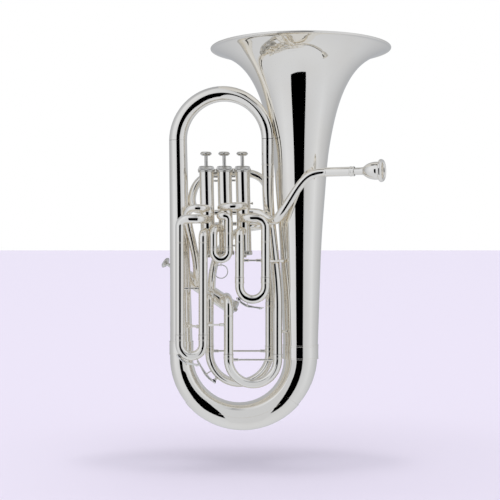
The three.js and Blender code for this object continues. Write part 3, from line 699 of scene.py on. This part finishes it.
def make_casing(valve):
    bore, r, length = valve["r"] - CASING_WALL, valve["r"], valve["length"]
    outline = filleted([(bore, 0), (r, 0), (r, length), (bore, length)], closed=True)
    shape = stood(lathe(outline, 64), valve)
    name = f"valve_{valve['number']}_casing"
    if valve["number"] == 2:
        for height, bar_r in ((128, 2.2), (121, 1.8), (68.5, 4.6), (49, 3.4)):
            for side in (-1, 1):
                reach = VALVE_PITCH - CASING_R - 0.4
                start = on_valve(valve, height, side * (r - 0.5))
                shape.merge(rod(start, on_valve(valve, height, side * reach), bar_r, 28))
    if valve["number"] == 1:
        screw = [(0, 0), (1, 0), (1, 2), (2.2, 2), (2.2, 4.7), (0, 4.7)]
        head = lathe(filleted(screw, 0.3), 24, knurl=(2.3, 4.3, 0.18))
        shape.merge(along(head, on_valve(valve, 83, r - 0.5), across(valve)))
    piece(name + "_tube", shape, SILVER, node=name)


def make_caps(valve):
    r, top = valve["r"], valve["length"]
    bore, cap_r, stem_hole = r + 0.3, r + 2.2, 3.5
    face = top + CAP_HEIGHT
    outline = [
        (bore, top - 2.3), (cap_r, top - 2.3), (cap_r, top - 1.2), (cap_r - 0.4, top - 0.8),
        (cap_r - 0.4, top - 0.3), (cap_r, top + 0.1), (cap_r, top + 2.6), (cap_r - 1.9, face - 0.7),
        (cap_r - 2.6, face), (7.4, face), (7.0, face - 0.35), (stem_hole, face - 0.35),
        (stem_hole, top + 3), (r - 2, top + 3), (r - 2, top + 0.3), (bore, top + 0.3),
    ]
    shape = lathe(filleted(outline, 0.3, closed=True), 144, knurl=(top + 0.4, face - 1, 0.6))
    name = f"valve_{valve['number']}_top_cap"
    piece(name + "_ring", stood(shape, valve), PAINTED_SHADE_PLATE, node=name)
    outline = [
        (0, -KNOB_LENGTH), (2.6, -KNOB_LENGTH), (3.4, -KNOB_LENGTH + 0.8), (3.0, -3.6),
        (4.4, -3.1), (cap_r - 2.2, -2.4), (cap_r - 1, -1.2), (cap_r - 1, 3.4), (cap_r - 1.5, 5),
        (bore, 5), (bore, -0.3), (0, -0.3),
    ]
    shape = lathe(filleted(outline, 0.3), 120, knurl=(-0.9, 3.1, 0.3))
    name = f"valve_{valve['number']}_bottom_cap"
    piece(name + "_cup", stood(shape, valve), PAINTED_SHADE_PLATE, node=name)


def make_piston(valve):
    spring_room, body = 28.0, f"valve_{valve['number']}"
    outer = valve["r"] - CASING_WALL - GAP
    inner, top = outer - 0.8, valve["length"] - 4
    outline = [(inner, spring_room), (outer, spring_room), (outer, top), (2, top), (2, top - 2),
               (inner, top - 2)]
    shape = stood(lathe(filleted(outline, closed=True), 48), valve)
    name = body + "_piston"
    piece(name + "_body", shape, PISTON_METAL, body, name)
    stem, z = 2.9, valve["length"] + CAP_HEIGHT + VALVE_TRAVEL + 0.6
    button = [
        (0, top + GAP), (stem, top + GAP), (stem, z + 0.1), (6.8, z + 0.1), (9.6, z + 2.6),
        (9.7, z + 3.2), (9.6, z + 3.8), (7.7, z + 6.1), (1.7, z + 5.9), (1.2, z + 5.2),
        (0, z + 5.1),
    ]
    shape = stood(lathe(filleted(button, 0.35), 64), valve)
    name = body + "_finger_button"
    piece(name + "_disc", shape, PAINTED_SHADE_PLATE, body, node=name)
    make_spring(valve, spring_room - 0.6)


def make_spring(valve, height):
    """A round-wire spring, with a mesh of its own."""
    wire, coil_r, turns, steps = 0.65, valve["r"] - 4.6, 4, 40
    points = []
    for i in range(turns * steps + 1):
        share = i / (turns * steps)
        turn = share * turns * 2 * math.pi
        points.append((coil_r * math.cos(turn), coil_r * math.sin(turn),
                       wire + share * (height - 2 * wire)))
    path = along_line(np.array(points))
    valve_name = f"valve_{valve['number']}"
    name = valve_name + "_spring"
    obj = piece(name + "_wire", stood(sweep(path, wire, None, 10), valve), SPRING_STEEL,
                node=name)
    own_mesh(obj)


# ---- tuning slides ----

SLIDES = {
    "first": dict(x=(-7.6, 34.8), y=SLIDE_Y, bow_z=240.6, r=7.2, sleeve_z=255.4, leg=52,
                  ferrule=FERRULE_LENGTH),
    "second": dict(x=(-50.2, -25.4), y=SLIDE_Y, bow_z=297.1, r=6.4, sleeve_z=304.5, leg=19,
                   ferrule=5),
    "third": dict(x=(-104.7, -66.9), y=SLIDE_Y, bow_z=146, r=7.5, sleeve_z=162, leg=92,
                  ferrule=FERRULE_LENGTH),
    "main": dict(x=(-25.7, 54.7), y=MAIN_SLIDE_Y, bow_z=120.7, r=7.7, sleeve_z=129.4, leg=62,
                 ferrule=7),
    "fourth": dict(x=(-57.8, 41.9), y=FOURTH_SLIDE_Y, bow_z=129.2, r=7, sleeve_z=140.8, leg=58,
                   ferrule=FERRULE_LENGTH),
}


def bow_radius(slide):
    return (slide["x"][1] - slide["x"][0]) / 2


def bow_centre(slide):
    return vec(sum(slide["x"]) / 2, slide["y"], slide["bow_z"])


def slide_shape(slide):
    """Two inner legs, a ferrule on each, and the bow between them."""
    (x0, x1), y, r = slide["x"], slide["y"], slide["r"]
    top, low = slide["sleeve_z"] + slide["leg"], slide["bow_z"] - bow_radius(slide)
    path = bent([(x0, y, top), (x0, y, low), (x1, y, low), (x1, y, top)], bow_radius(slide))
    leg_r, start = r - LEG_STEP, slide["leg"] + GAP
    end = start + slide["ferrule"]
    band = 1.3
    side = [
        (0, leg_r), (start, leg_r), (start, r + FERRULE_LIP), (start + band, r + FERRULE_LIP),
        (start + band + 0.3, r + 0.35), (end - band - 0.3, r + 0.35), (end - band, r + FERRULE_LIP),
        (end, r + FERRULE_LIP), (end + 0.3, r),
    ]
    rounded = [tuple(p) for p in filleted([*side, (path.length / 2, r)], 0.22)][:-1]
    other = [(path.length - d, q) for d, q in reversed(rounded)]
    return sweep(path, rounded + other, leg_r - 0.6)


def sleeve(name, slide, corners, bends, valve=None, ring_z=None, bulge=0.0):
    """A fixed outer tube from a valve casing down to its slide, with a ring at its joint."""
    slide = SLIDES[slide]
    foot = (corners[-1][0], slide["y"], slide["sleeve_z"])
    path = bent([foot, *reversed(corners)], *bends)
    if bulge:
        path = bulged(path, foot[0], corners[0][0], bulge)
    if valve:
        path = shortened(path, valve)
    at, ring, r = ring_z - slide["sleeve_z"], 2.0, slide["r"]
    end_band = 1.6
    outer = [
        (0, r + 0.25), (end_band, r + 0.25), (end_band + 0.2, r), (at, r), (at + 0.15, r + 0.4),
        (at + 0.6, r + 0.4), (at + 0.75, r + 0.1), (at + ring - 0.75, r + 0.1),
        (at + ring - 0.6, r + 0.4), (at + ring - 0.15, r + 0.4), (at + ring, r), (path.length, r),
    ]
    rounded = [tuple(p) for p in filleted(outer, 0.12, 2)]
    shape = sweep(path, rounded, r - WALL, meets=(None, valve))
    piece(name + "_tube", shape, SILVER, node=name)


def shortened(path, *valves):
    """The path with the end that enters a valve cut off just outside its casing."""
    start, end = 0.0, path.length
    for valve in valves:
        for distance in np.arange(0, path.length, 0.25):
            at, _ = path.at(distance)
            rel = at - valve["foot"]
            height = rel @ valve["axis"]
            apart = np.linalg.norm(rel - valve["axis"] * height)
            if apart < valve["r"] + 1.5 and -5 < height < valve["length"] + 5:
                if distance > path.length / 2:
                    end = min(end, distance)
                else:
                    start = max(start, distance)
    return path.part(start, end)


def brace(name, start, start_r, end, end_r, r=1.8, body="root"):
    """A soldered brace: a thin rod with a collar and a foot at each end."""
    start, end = np.array(start, float), np.array(end, float)
    way = unit(end - start)
    a, b = start + way * (start_r - 0.35), end - way * (end_r - 0.1)
    length = np.linalg.norm(b - a)
    foot, collar, middle = r * 1.55, r * 1.35, r * 0.85
    reach = min(9.0, length * 0.3)
    outline = [
        (0, 0), (foot, 0), (foot, 0.9), (collar, 1.3), (collar, reach - 0.6), (middle, reach),
        (middle, length - reach), (collar, length - reach + 0.6), (collar, length - 1.3),
        (foot, length - 0.9), (foot, length), (0, length),
    ]
    piece(name, along(lathe(filleted(outline, 0.25), 28), a, way), SILVER, body)


def slide_brace(name, slide, z, body="root", r=1.8, bore_end=0.0):
    """A brace across the two legs of a slide or its sleeves."""
    (x0, x1), y = slide["x"], slide["y"]
    brace(name, (x0, y, z), slide["r"], (x1, y, z), slide["r"] - bore_end, r, body)


def make_first_sleeves():
    slide = SLIDES["first"]
    x0, x1 = slide["x"]
    sleeve("first_slide_sleeve_right", "first", [
        (-1, VALVE_Y, 352.5), (-4.5, SLIDE_Y, 352.5), (x1, SLIDE_Y, 352.5)],
        (16, 17), VALVES[0], 312)
    sleeve("first_slide_sleeve_left", "first", [
        (-1, VALVE_Y, 331), (x0, SLIDE_Y, 331)], (10,), VALVES[0], 312)
    slide_brace("first_sleeve_brace", slide, 283)
    brace("first_sleeve_bell_brace", (x1, SLIDE_Y, 282), slide["r"], (BELL_X, -8, 282), 33.6)
    second = SLIDES["second"]
    onto = (second["x"][1], SLIDE_Y, 307)
    brace("first_second_brace", (x0, SLIDE_Y, 307), slide["r"], onto, second["r"], 1.6)


def make_second_sleeves():
    x0, x1 = SLIDES["second"]["x"]
    sleeve("second_slide_sleeve_left", "second", [
        (-33, VALVE_Y, 335), (x0, SLIDE_Y, 337)], (12,), VALVES[1], 326)
    sleeve("second_slide_sleeve_right", "second", [
        (-34, VALVE_Y, 356), (-41, SLIDE_Y, 356), (x1, SLIDE_Y, 356)], (7.3,), VALVES[1], 326)


def make_third_sleeves():
    slide, main = SLIDES["third"], SLIDES["main"]
    x0, x1 = slide["x"]
    high = 350.5
    sleeve("third_slide_sleeve_left", "third", [
        (-61, VALVE_Y, high), (-64.5, SLIDE_Y, high), (x0, SLIDE_Y, high)],
        (12, 15), VALVES[2], 311, 9)
    sleeve("third_slide_sleeve_right", "third", [
        (-61, VALVE_Y, 329), (x1, SLIDE_Y, 329)], (10,), VALVES[2], 311)
    slide_brace("third_sleeve_brace", slide, 237.5)
    brace("third_branch_brace", (x1, SLIDE_Y, 174.5), slide["r"], (-105.3, 0, 174.5),
          BOW_RADII[2] - 0.4, 2.2)
    brace("third_main_brace", (x1, SLIDE_Y, 177.5), slide["r"],
          (main["x"][0], main["y"], 177.5), main["r"])


def make_main_sleeve():
    slide = SLIDES["main"]
    sleeve("main_slide_sleeve", "main", [
        (-36, 14, 214), (slide["x"][0], slide["y"], 228)], (16,), VALVES[3], 191)


def make_fourth_sleeves():
    x0, x1 = SLIDES["fourth"]["x"]
    y = FOURTH_SLIDE_Y
    sleeve("fourth_slide_sleeve_left", "fourth", [(x0, 18, 227), (x0, y, 222)], (11,),
           VALVES[3], 204)
    sleeve("fourth_slide_sleeve_right", "fourth", [(x1, y, 214)], (0,), None, 206)


# ---- water keys ----

WATER_KEYS = {
    "first": {"cork": (-9.3, 219.2), "pivot": (4.6, 209.3), "touch": (28, 204.9)},
    "third": {"cork": (-106.3, 126.2), "pivot": (-93.3, 116.2), "touch": (-75.3, 112)},
    "fourth": {"cork": (-50.6, 82), "pivot": (-63.6, 93.6), "touch": (-77.5, 115.5)},
}
BARREL_HALF = 3.4


def key_points(name):
    slide, key = SLIDES[name], WATER_KEYS[name]
    centre = bow_centre(slide)
    points = {k: vec(x, slide["y"], z) for k, (x, z) in key.items()}
    return slide, centre, points, {k: unit(p - centre) for k, p in points.items()}


def key_seat(name):
    """The nipple and the two saddle posts with their screw, which stay on the slide."""
    slide, centre, at, out = key_points(name)
    surface = bow_radius(slide) + slide["r"]
    seat, pad_room = surface - 1.6, 2.4
    nipple_start = centre + out["cork"] * seat
    height = np.linalg.norm(at["cork"] - centre) - pad_room - seat
    outline = [(1.4, 0), (3.3, 0), (2.9, 1.6), (2.5, 2.0), (2.5, height - 0.5), (2.1, height),
               (1.4, height)]
    shape = along(lathe(filleted(outline, 0.15, closed=True), 32), nipple_start, out["cork"])
    for side in (-1, 1):
        shift = vec(0, side * (BARREL_HALF + 1.0), 0)
        foot = centre + out["pivot"] * (surface - 2.4) + shift
        shape.merge(rod(foot, at["pivot"] + out["pivot"] * 1.2 + shift, 0.7, 16))
        shape.merge(ball(at["pivot"] + shift + vec(0, side * 0.25, 0), 1.25, 0.45, vec(0, 1, 0)))
    return shape


def make_water_key(name):
    """A lever with its cup, rubber pad, pivot barrel and a thumb plate."""
    _, _, at, out = key_points(name)
    body = f"water_key_{name}"
    cork, pivot, touch = at["cork"], at["pivot"], at["touch"]
    cup = [(0, 2.2), (3.2, 2.2), (4.4, 1.5), (4.7, 0.4), (4.7, -0.5), (0, -0.5)]
    shape = along(lathe(filleted(cup, 0.2), 40), cork, out["cork"])
    lever = smooth([cork + out["cork"] * 0.7, cork * 0.5 + pivot * 0.5 + out["pivot"] * 1.5,
                    pivot + out["pivot"] * 0.5, (pivot + touch) / 2 + out["touch"] * 0.4, touch], 2)
    widths = [(0, 1.8), (lever.length * 0.45, 2.3), (lever.length * 0.75, 1.5), (lever.length, 2.0)]
    shape.merge(sweep(lever, widths, None, 20))
    half = vec(0, BARREL_HALF, 0)
    shape.merge(rod(pivot - half, pivot + half, 1.75, 28))
    plate = [(0, -1.0), (3.4, -1.0), (4.0, -0.3), (4.0, 0.5), (3.4, 1.1), (0, 0.8)]
    shape.merge(along(lathe(filleted(plate, 0.25), 40), touch, out["touch"]))
    piece(body + "_lever", shape, KEY_METAL, body, body)
    pad = lathe(filleted([(0, -1.95), (3.3, -1.95), (3.6, -0.55), (0, -0.55)], 0.15), 32)
    piece(body + "_pad", along(pad, cork, out["cork"]), PAD_RUBBER, body)


RING_R = 10.9
RING_WIRE = 0.9


def make_moving_slides():
    for name, slide in SLIDES.items():
        shape = slide_shape(slide)
        if name in WATER_KEYS:
            shape.merge(key_seat(name))
        if name == "second":
            bottom = slide["bow_z"] - bow_radius(slide) - slide["r"]
            middle = sum(slide["x"]) / 2
            shape.merge(hoop((middle, slide["y"], bottom - 2.2), 2.4, 0.7, (1, 0, 0), 12, 32))
            ring = hoop((middle, slide["y"], bottom - 2.6 - RING_R), RING_R, RING_WIRE, (0, 1, 0))
            piece("pull_ring_wire", ring, KEY_METAL, "pull_ring", "pull_ring")
        piece(f"{name}_slide_bow", shape, SILVER, f"{name}_slide", node=f"{name}_slide")
    main, fourth = SLIDES["main"], SLIDES["fourth"]
    slide_brace("main_slide_brace", main, main["bow_z"] - 1, "main_slide")
    slide_brace("fourth_slide_brace", fourth, fourth["bow_z"] + 3, "fourth_slide")
    for name in WATER_KEYS:
        make_water_key(name)


# ---- connecting tubes ----

def make_right_branch():
    slide = SLIDES["main"]
    x, y = slide["x"][1], slide["y"]
    path = smooth([
        (38.4, -28, SHOULDER_Z - 0.6), (38.4, -27.8, 470), (38.4, -26, 453), (38.8, -22, 430),
        (39.5, -13, 385), (42, -4.6, 355), (45.4, -8, 325), (50, -15, 281), (53.4, -22.5, 245),
        (x, y, 215), (x, y, 190), (x, y, 160), (x, y, slide["sleeve_z"]),
    ])
    length = path.length
    collar = [
        (0, 10), (40, 9.72), (40.4, 10.3), (41.6, 10.3), (42, 9.7), (60, 9.55), (60.4, 10.1),
        (61.6, 10.1), (62, 9.5), (120, 9.1), (length - 86, slide["r"]), (length, slide["r"]),
    ]
    shape = sweep(path, collar, [(0, 9.2), (120, 8.3), (length - 86, 6.9), (length, 6.9)], 48)
    piece("right_branch_tube", shape, SILVER, node="right_branch")
    brace("right_branch_bell_brace", (x, y, 166), slide["r"], (BELL_X, 0, 166), 29.9, 2)


def receiver_aim():
    return vec(math.cos(RECEIVER_ANGLE), -math.sin(RECEIVER_ANGLE), 0)


def make_leadpipe():
    inside = vec(*RECEIVER_START) + receiver_aim() * 9
    path = smooth([
        (2, -10.5, 362.5), (13, -11, 362.5), (25, -14.5, 361.5), (34, -20.5, 355.5),
        (42.5, -25.5, 349.5), (50.5, -34, 347.8), (60, -43, 359.4), (66.5, -46.5, 368.5),
        (74.6, -49.5, 381.1), (82.6, -51.5, 393.9), (90.6, -52.7, 405.2), (98.6, -53.6, 414.6),
        (107.5, -54.8, 421.4), (119.5, -56.2, 425), RECEIVER_START, inside,
    ], 8)
    path = shortened(path, VALVES[0])
    outer = spread(path, [6.6, 7.1, 7.3, 6.8, 6.3])
    shape = sweep(path, outer, thinner(outer, WALL), meets=(VALVES[0], None))
    piece("leadpipe_tube", shape, SILVER, node="leadpipe")


def make_receiver():
    outer, inner, end = 7.4, 6.7, RECEIVER_LENGTH
    outline = [
        (inner, 0), (outer + 0.2, 0), (outer + 0.2, 1.6), (outer, 1.9), (outer, end - 8),
        (outer + 0.7, end - 7.4), (outer + 0.7, end - 5.6), (outer + 0.3, end - 5.2),
        (outer + 0.3, end - 2.6), (outer + 0.7, end - 2.2), (outer + 0.7, end - 0.7),
        (outer, end), (inner, end),
    ]
    shape = lathe(filleted(outline, 0.2, closed=True), 64)
    piece("mouthpiece_receiver_tube", along(shape, RECEIVER_START, receiver_aim()), SILVER,
          node="mouthpiece_receiver")


def make_mouthpiece():
    """Shank, throat and cup, with a rounded rim."""
    tip, rim = RECEIVER_LENGTH - SHANK_DEPTH, RECEIVER_LENGTH + 47.5
    outside = catmull([vec(r, z) for r, z in (
        (5.6, tip), (5.85, rim - 52), (6.1, rim - 36), (6.6, rim - 33), (8.4, rim - 30.5),
        (11.2, rim - 26), (13.2, rim - 20.5), (14.2, rim - 14), (14.2, rim - 8.6))], 6)
    rim_part = filleted([
        (14.4, rim - 7.2), (17.4, rim - 6.4), (18.2, rim - 4.8), (18.1, rim - 2.8),
        (16.9, rim - 0.8), (15.6, rim), (14.4, rim - 0.2), (13.2, rim - 1.4)], 0.8, 4)
    cup = catmull([vec(r, z) for r, z in (
        (12.7, rim - 3), (11.9, rim - 9), (10.4, rim - 15), (7.4, rim - 21), (3.6, rim - 26),
        (3.3, rim - 30), (4.2, rim - 50), (4.9, tip))], 5)
    outline = [*outside, *rim_part, *cup]
    piece("mouthpiece_body", along(lathe(outline, 96), RECEIVER_START, receiver_aim()), SILVER,
          "mouthpiece", node="mouthpiece")


def valve_tube(name, path, r, start, end):
    """A tube that runs between valve casings, or from one to a slide."""
    path = shortened(path, *(v for v in (start, end) if v))
    piece(name + "_tube", sweep(path, r, r - WALL, meets=(start, end)), SILVER, node=name)


def make_connecting_tubes():
    valve_1, valve_2, valve_3, valve_4 = VALVES
    valve_tube("crossover_tube", bent([
        (-35, VALVE_Y, 370.5), (-37, -33, 370.5), (0.5, -33, 372.5), (-1.5, VALVE_Y, 372.5)], 17),
        6.5, valve_2, valve_1)
    valve_tube("valve_3_to_4_tube", smooth([
        (-62, -12, 368.5), (-64.5, -26, 368.5), (-74, -31.5, 368.5), (-88, -28, 367.5),
        (-94.5, -20.5, 358), (-92, -17.5, 343), (-85.5, -8, 311), (-80, 0, 280), (-79, 8, 258),
        (-78.6, 20, 240)], 6), 6.4, valve_3, valve_4)
    x = SLIDES["fourth"]["x"][1]
    valve_tube("compensating_loop", smooth([
        (x, FOURTH_SLIDE_Y, FOURTH_SLEEVE_TOP + 0.6), (x, FOURTH_SLIDE_Y, 224), (x, -2, 248),
        (x, 7, 290), (x, 12, 340),
        (41.4, 12.5, 385), (35.5, 12.7, 412), (20, 13, 425.5), (-20, 13.5, 430.5), (-58, 13.5, 427),
        (-78, 12, 413), (-86.5, 9, 395), (-87.5, 5, 380), (-83, -1, 369.5), (-74, -6, 366),
        (-63, -8, 366)], 5),
        6.7, None, valve_3)
    valve_tube("compensating_return", smooth([
        (2, -10, 341), (14, -10, 341), (24, -6, 341), (30, 4, 341), (24, 14, 340), (10, 18, 338),
        (-10, 18, 331), (-30, 17, 315), (-45, 13, 292), (-53, 9, 262), (-55.5, 18, 232)], 5),
        6.6, valve_1, valve_4)


# ---- the whole horn ----

make_bell()
ferrule("bell_ferrule", BELL_X, 119.2, 142.7, 29, 29.7)
make_bottom_bow()
make_bow_guard()
ferrule("branch_ferrule", LEFT_X, 126, 148.3, 19.3, 19.9)
make_left_branch()
make_top_bow()
make_right_branch()
for spec in VALVES:
    make_casing(spec)
    make_caps(spec)
    make_piston(spec)
for make in (make_first_sleeves, make_second_sleeves, make_third_sleeves, make_main_sleeve,
             make_fourth_sleeves, make_moving_slides, make_connecting_tubes, make_leadpipe,
             make_receiver, make_mouthpiece):
    make()


# ---- studio ----

CAMERA_AT = (0.0095, -1.8, 0.3)
CAMERA_LENS = 77.76
FLOOR_Z = -0.055
FLOOR_COLOUR = (0.81, 0.745, 0.855)
SHADE_Y, SHADE_Z = 0.02, FLOOR_Z + 0.08
WORLD_TINT = (1.0, 1.035, 1.11)  # cool light that the warm silver turns neutral


def make_camera():
    data = bpy.data.cameras.new("camera")
    data.lens = CAMERA_LENS
    data.sensor_width = 36
    camera = placed("camera", data)
    camera.location = CAMERA_AT
    camera.rotation_euler = (math.radians(90), 0, 0)
    bpy.context.scene.camera = camera


def flat_card(name, corners, material):
    """A flat stage panel."""
    mesh = bpy.data.meshes.new(name)
    mesh.from_pydata(corners, [], [tuple(range(len(corners)))])
    mesh.materials.append(material)
    card = placed(name, mesh)
    return card


def upright_card(name, across, y, heights, material):
    """A panel that faces the horn and is seen in reflections only."""
    (x0, x1), (z0, z1) = across, heights
    card = flat_card(name, [(x0, y, z0), (x1, y, z0), (x1, y, z1), (x0, y, z1)], material)
    card.visible_camera = card.visible_diffuse = card.visible_shadow = False


def plain_material(name, kind, colour, strength=None):
    """A material of one shader node."""
    material = bpy.data.materials.new(name)
    material.use_nodes = True
    tree = material.node_tree
    tree.nodes.clear()
    out = tree.nodes.new("ShaderNodeOutputMaterial")
    shader = tree.nodes.new(kind)
    shader.inputs["Color"].default_value = (*colour, 1)
    if strength is not None:
        shader.inputs["Strength"].default_value = strength
    tree.links.new(shader.outputs[0], out.inputs["Surface"])
    return material


def make_floor():
    material, _, _ = new_material("pale_floor", FLOOR_COLOUR, 1.0, metallic=0.0)
    size = 1000.0
    corners = [(x * size, y * size, FLOOR_Z) for x, y in ((-1, -1), (1, -1), (1, 1), (-1, 1))]
    floor = flat_card("floor", corners, material)
    floor.visible_glossy = False


def make_cards():
    """A black card in front of the horn, and small light ones that keep it off the low bows."""
    black = plain_material("black", "ShaderNodeEmission", (0, 0, 0), 0)
    upright_card("black_card", (-0.405, 0.29), -0.88, (-0.44, 0.73), black)
    white = plain_material("low_fill", "ShaderNodeEmission", WORLD_TINT, 0.62)
    upright_card("low_fill_card", (-0.040, 0.050), -0.075, (-0.060, 0.110), white)
    upright_card("third_fill_card", (-0.095, -0.071), -0.060, (0.100, 0.139), white)


def make_shade():
    """A half-clear oval above the floor, unseen itself, for the broad soft shadow."""
    half_x, half_y, corners, share = 0.285, 0.125, 64, 0.62
    turns = [2 * math.pi * k / corners for k in range(corners)]
    oval = [(half_x * math.cos(t), SHADE_Y + half_y * math.sin(t), SHADE_Z) for t in turns]
    clear = plain_material("half_clear", "ShaderNodeBsdfTransparent", (share, share, share))
    shade = flat_card("shade", oval, clear)
    shade.visible_camera = shade.visible_glossy = shade.visible_diffuse = False


def make_sun():
    """A broad soft light from above, for the floor only."""
    data = bpy.data.lights.new("top_light", "SUN")
    data.energy = 1.6
    data.angle = math.radians(70)
    placed("top_light", data).visible_glossy = False


def feed(tree, node, values):
    """Sets each input to its value, or joins it to the socket given."""
    for key, value in values:
        if isinstance(value, bpy.types.NodeSocket):
            tree.links.new(value, node.inputs[key])
        else:
            node.inputs[key].default_value = value


def worked_out(tree, operation, *values):
    node = tree.nodes.new("ShaderNodeMath")
    node.operation = operation
    feed(tree, node, enumerate(values))
    return node.outputs[0]


def ranged(tree, value, low, high):
    """The value's share of the way from low to high."""
    node = tree.nodes.new("ShaderNodeMapRange")
    feed(tree, node, (("Value", value), ("From Min", low), ("From Max", high)))
    return node.outputs[0]


def mixed(tree, factor, a, b, blend="MIX"):
    node = tree.nodes.new("ShaderNodeMix")
    node.data_type = "RGBA"
    node.blend_type = blend
    feed(tree, node, (("Factor", factor), ("A", a), ("B", b)))
    return node.outputs["Result"]


def make_world():
    """White panels all round that fall off to grey behind, and plain white to the camera."""
    world = bpy.data.worlds.new("studio")
    bpy.context.scene.world = world
    world.use_nodes = True
    tree = world.node_tree
    tree.nodes.clear()
    place = tree.nodes.new("ShaderNodeTexCoord")
    split = tree.nodes.new("ShaderNodeSeparateXYZ")
    tree.links.new(place.outputs["Generated"], split.inputs[0])
    towards_camera = worked_out(tree, "MULTIPLY", split.outputs["Y"], -1)
    azimuth = worked_out(tree, "ARCTAN2", split.outputs["X"], towards_camera)
    share = ranged(tree, azimuth, -math.pi, math.pi)
    degrees = [(-180, 0.44), (-135, 0.45), (-95, 0.54), (-80, 0.66), (-62, 0.76), (-40, 0.73),
               (-20, 0.66), (8, 0.42), (20, 0.6), (45, 0.67), (66, 0.74), (88, 0.62),
               (135, 0.47), (180, 0.44)]
    walls = ramp(tree, share, [(d / 360 + 0.5, v) for d, v in degrees])
    height = ranged(tree, split.outputs["Z"], -1, 1)
    levels = ramp(tree, height, [(0.0, 0.72), (0.25, 0.92), (0.5, 1.0), (0.8, 1.04), (1.0, 0.9)])
    shaded = mixed(tree, 1, walls, levels, "MULTIPLY")
    depth = ramp(tree, height, [(0.0, 1.0), (0.2, 0.75), (0.45, 0.0)])
    grounded = mixed(tree, depth, shaded, (0.68, 0.68, 0.68, 1))
    cool = mixed(tree, 1, grounded, (*WORLD_TINT, 1), "MULTIPLY")
    seen = tree.nodes.new("ShaderNodeLightPath").outputs["Is Camera Ray"]
    sky = tree.nodes.new("ShaderNodeBackground")
    tree.links.new(mixed(tree, seen, cool, (1, 1, 1, 1)), sky.inputs["Color"])
    out = tree.nodes.new("ShaderNodeOutputWorld")
    tree.links.new(sky.outputs["Background"], out.inputs["Surface"])


for make in (make_camera, make_floor, make_cards, make_shade, make_sun, make_world):
    make()
bpy.context.scene.view_settings.view_transform = "Standard"
bpy.context.scene.cycles.glossy_bounces = 10
bpy.context.scene.cycles.max_bounces = 14
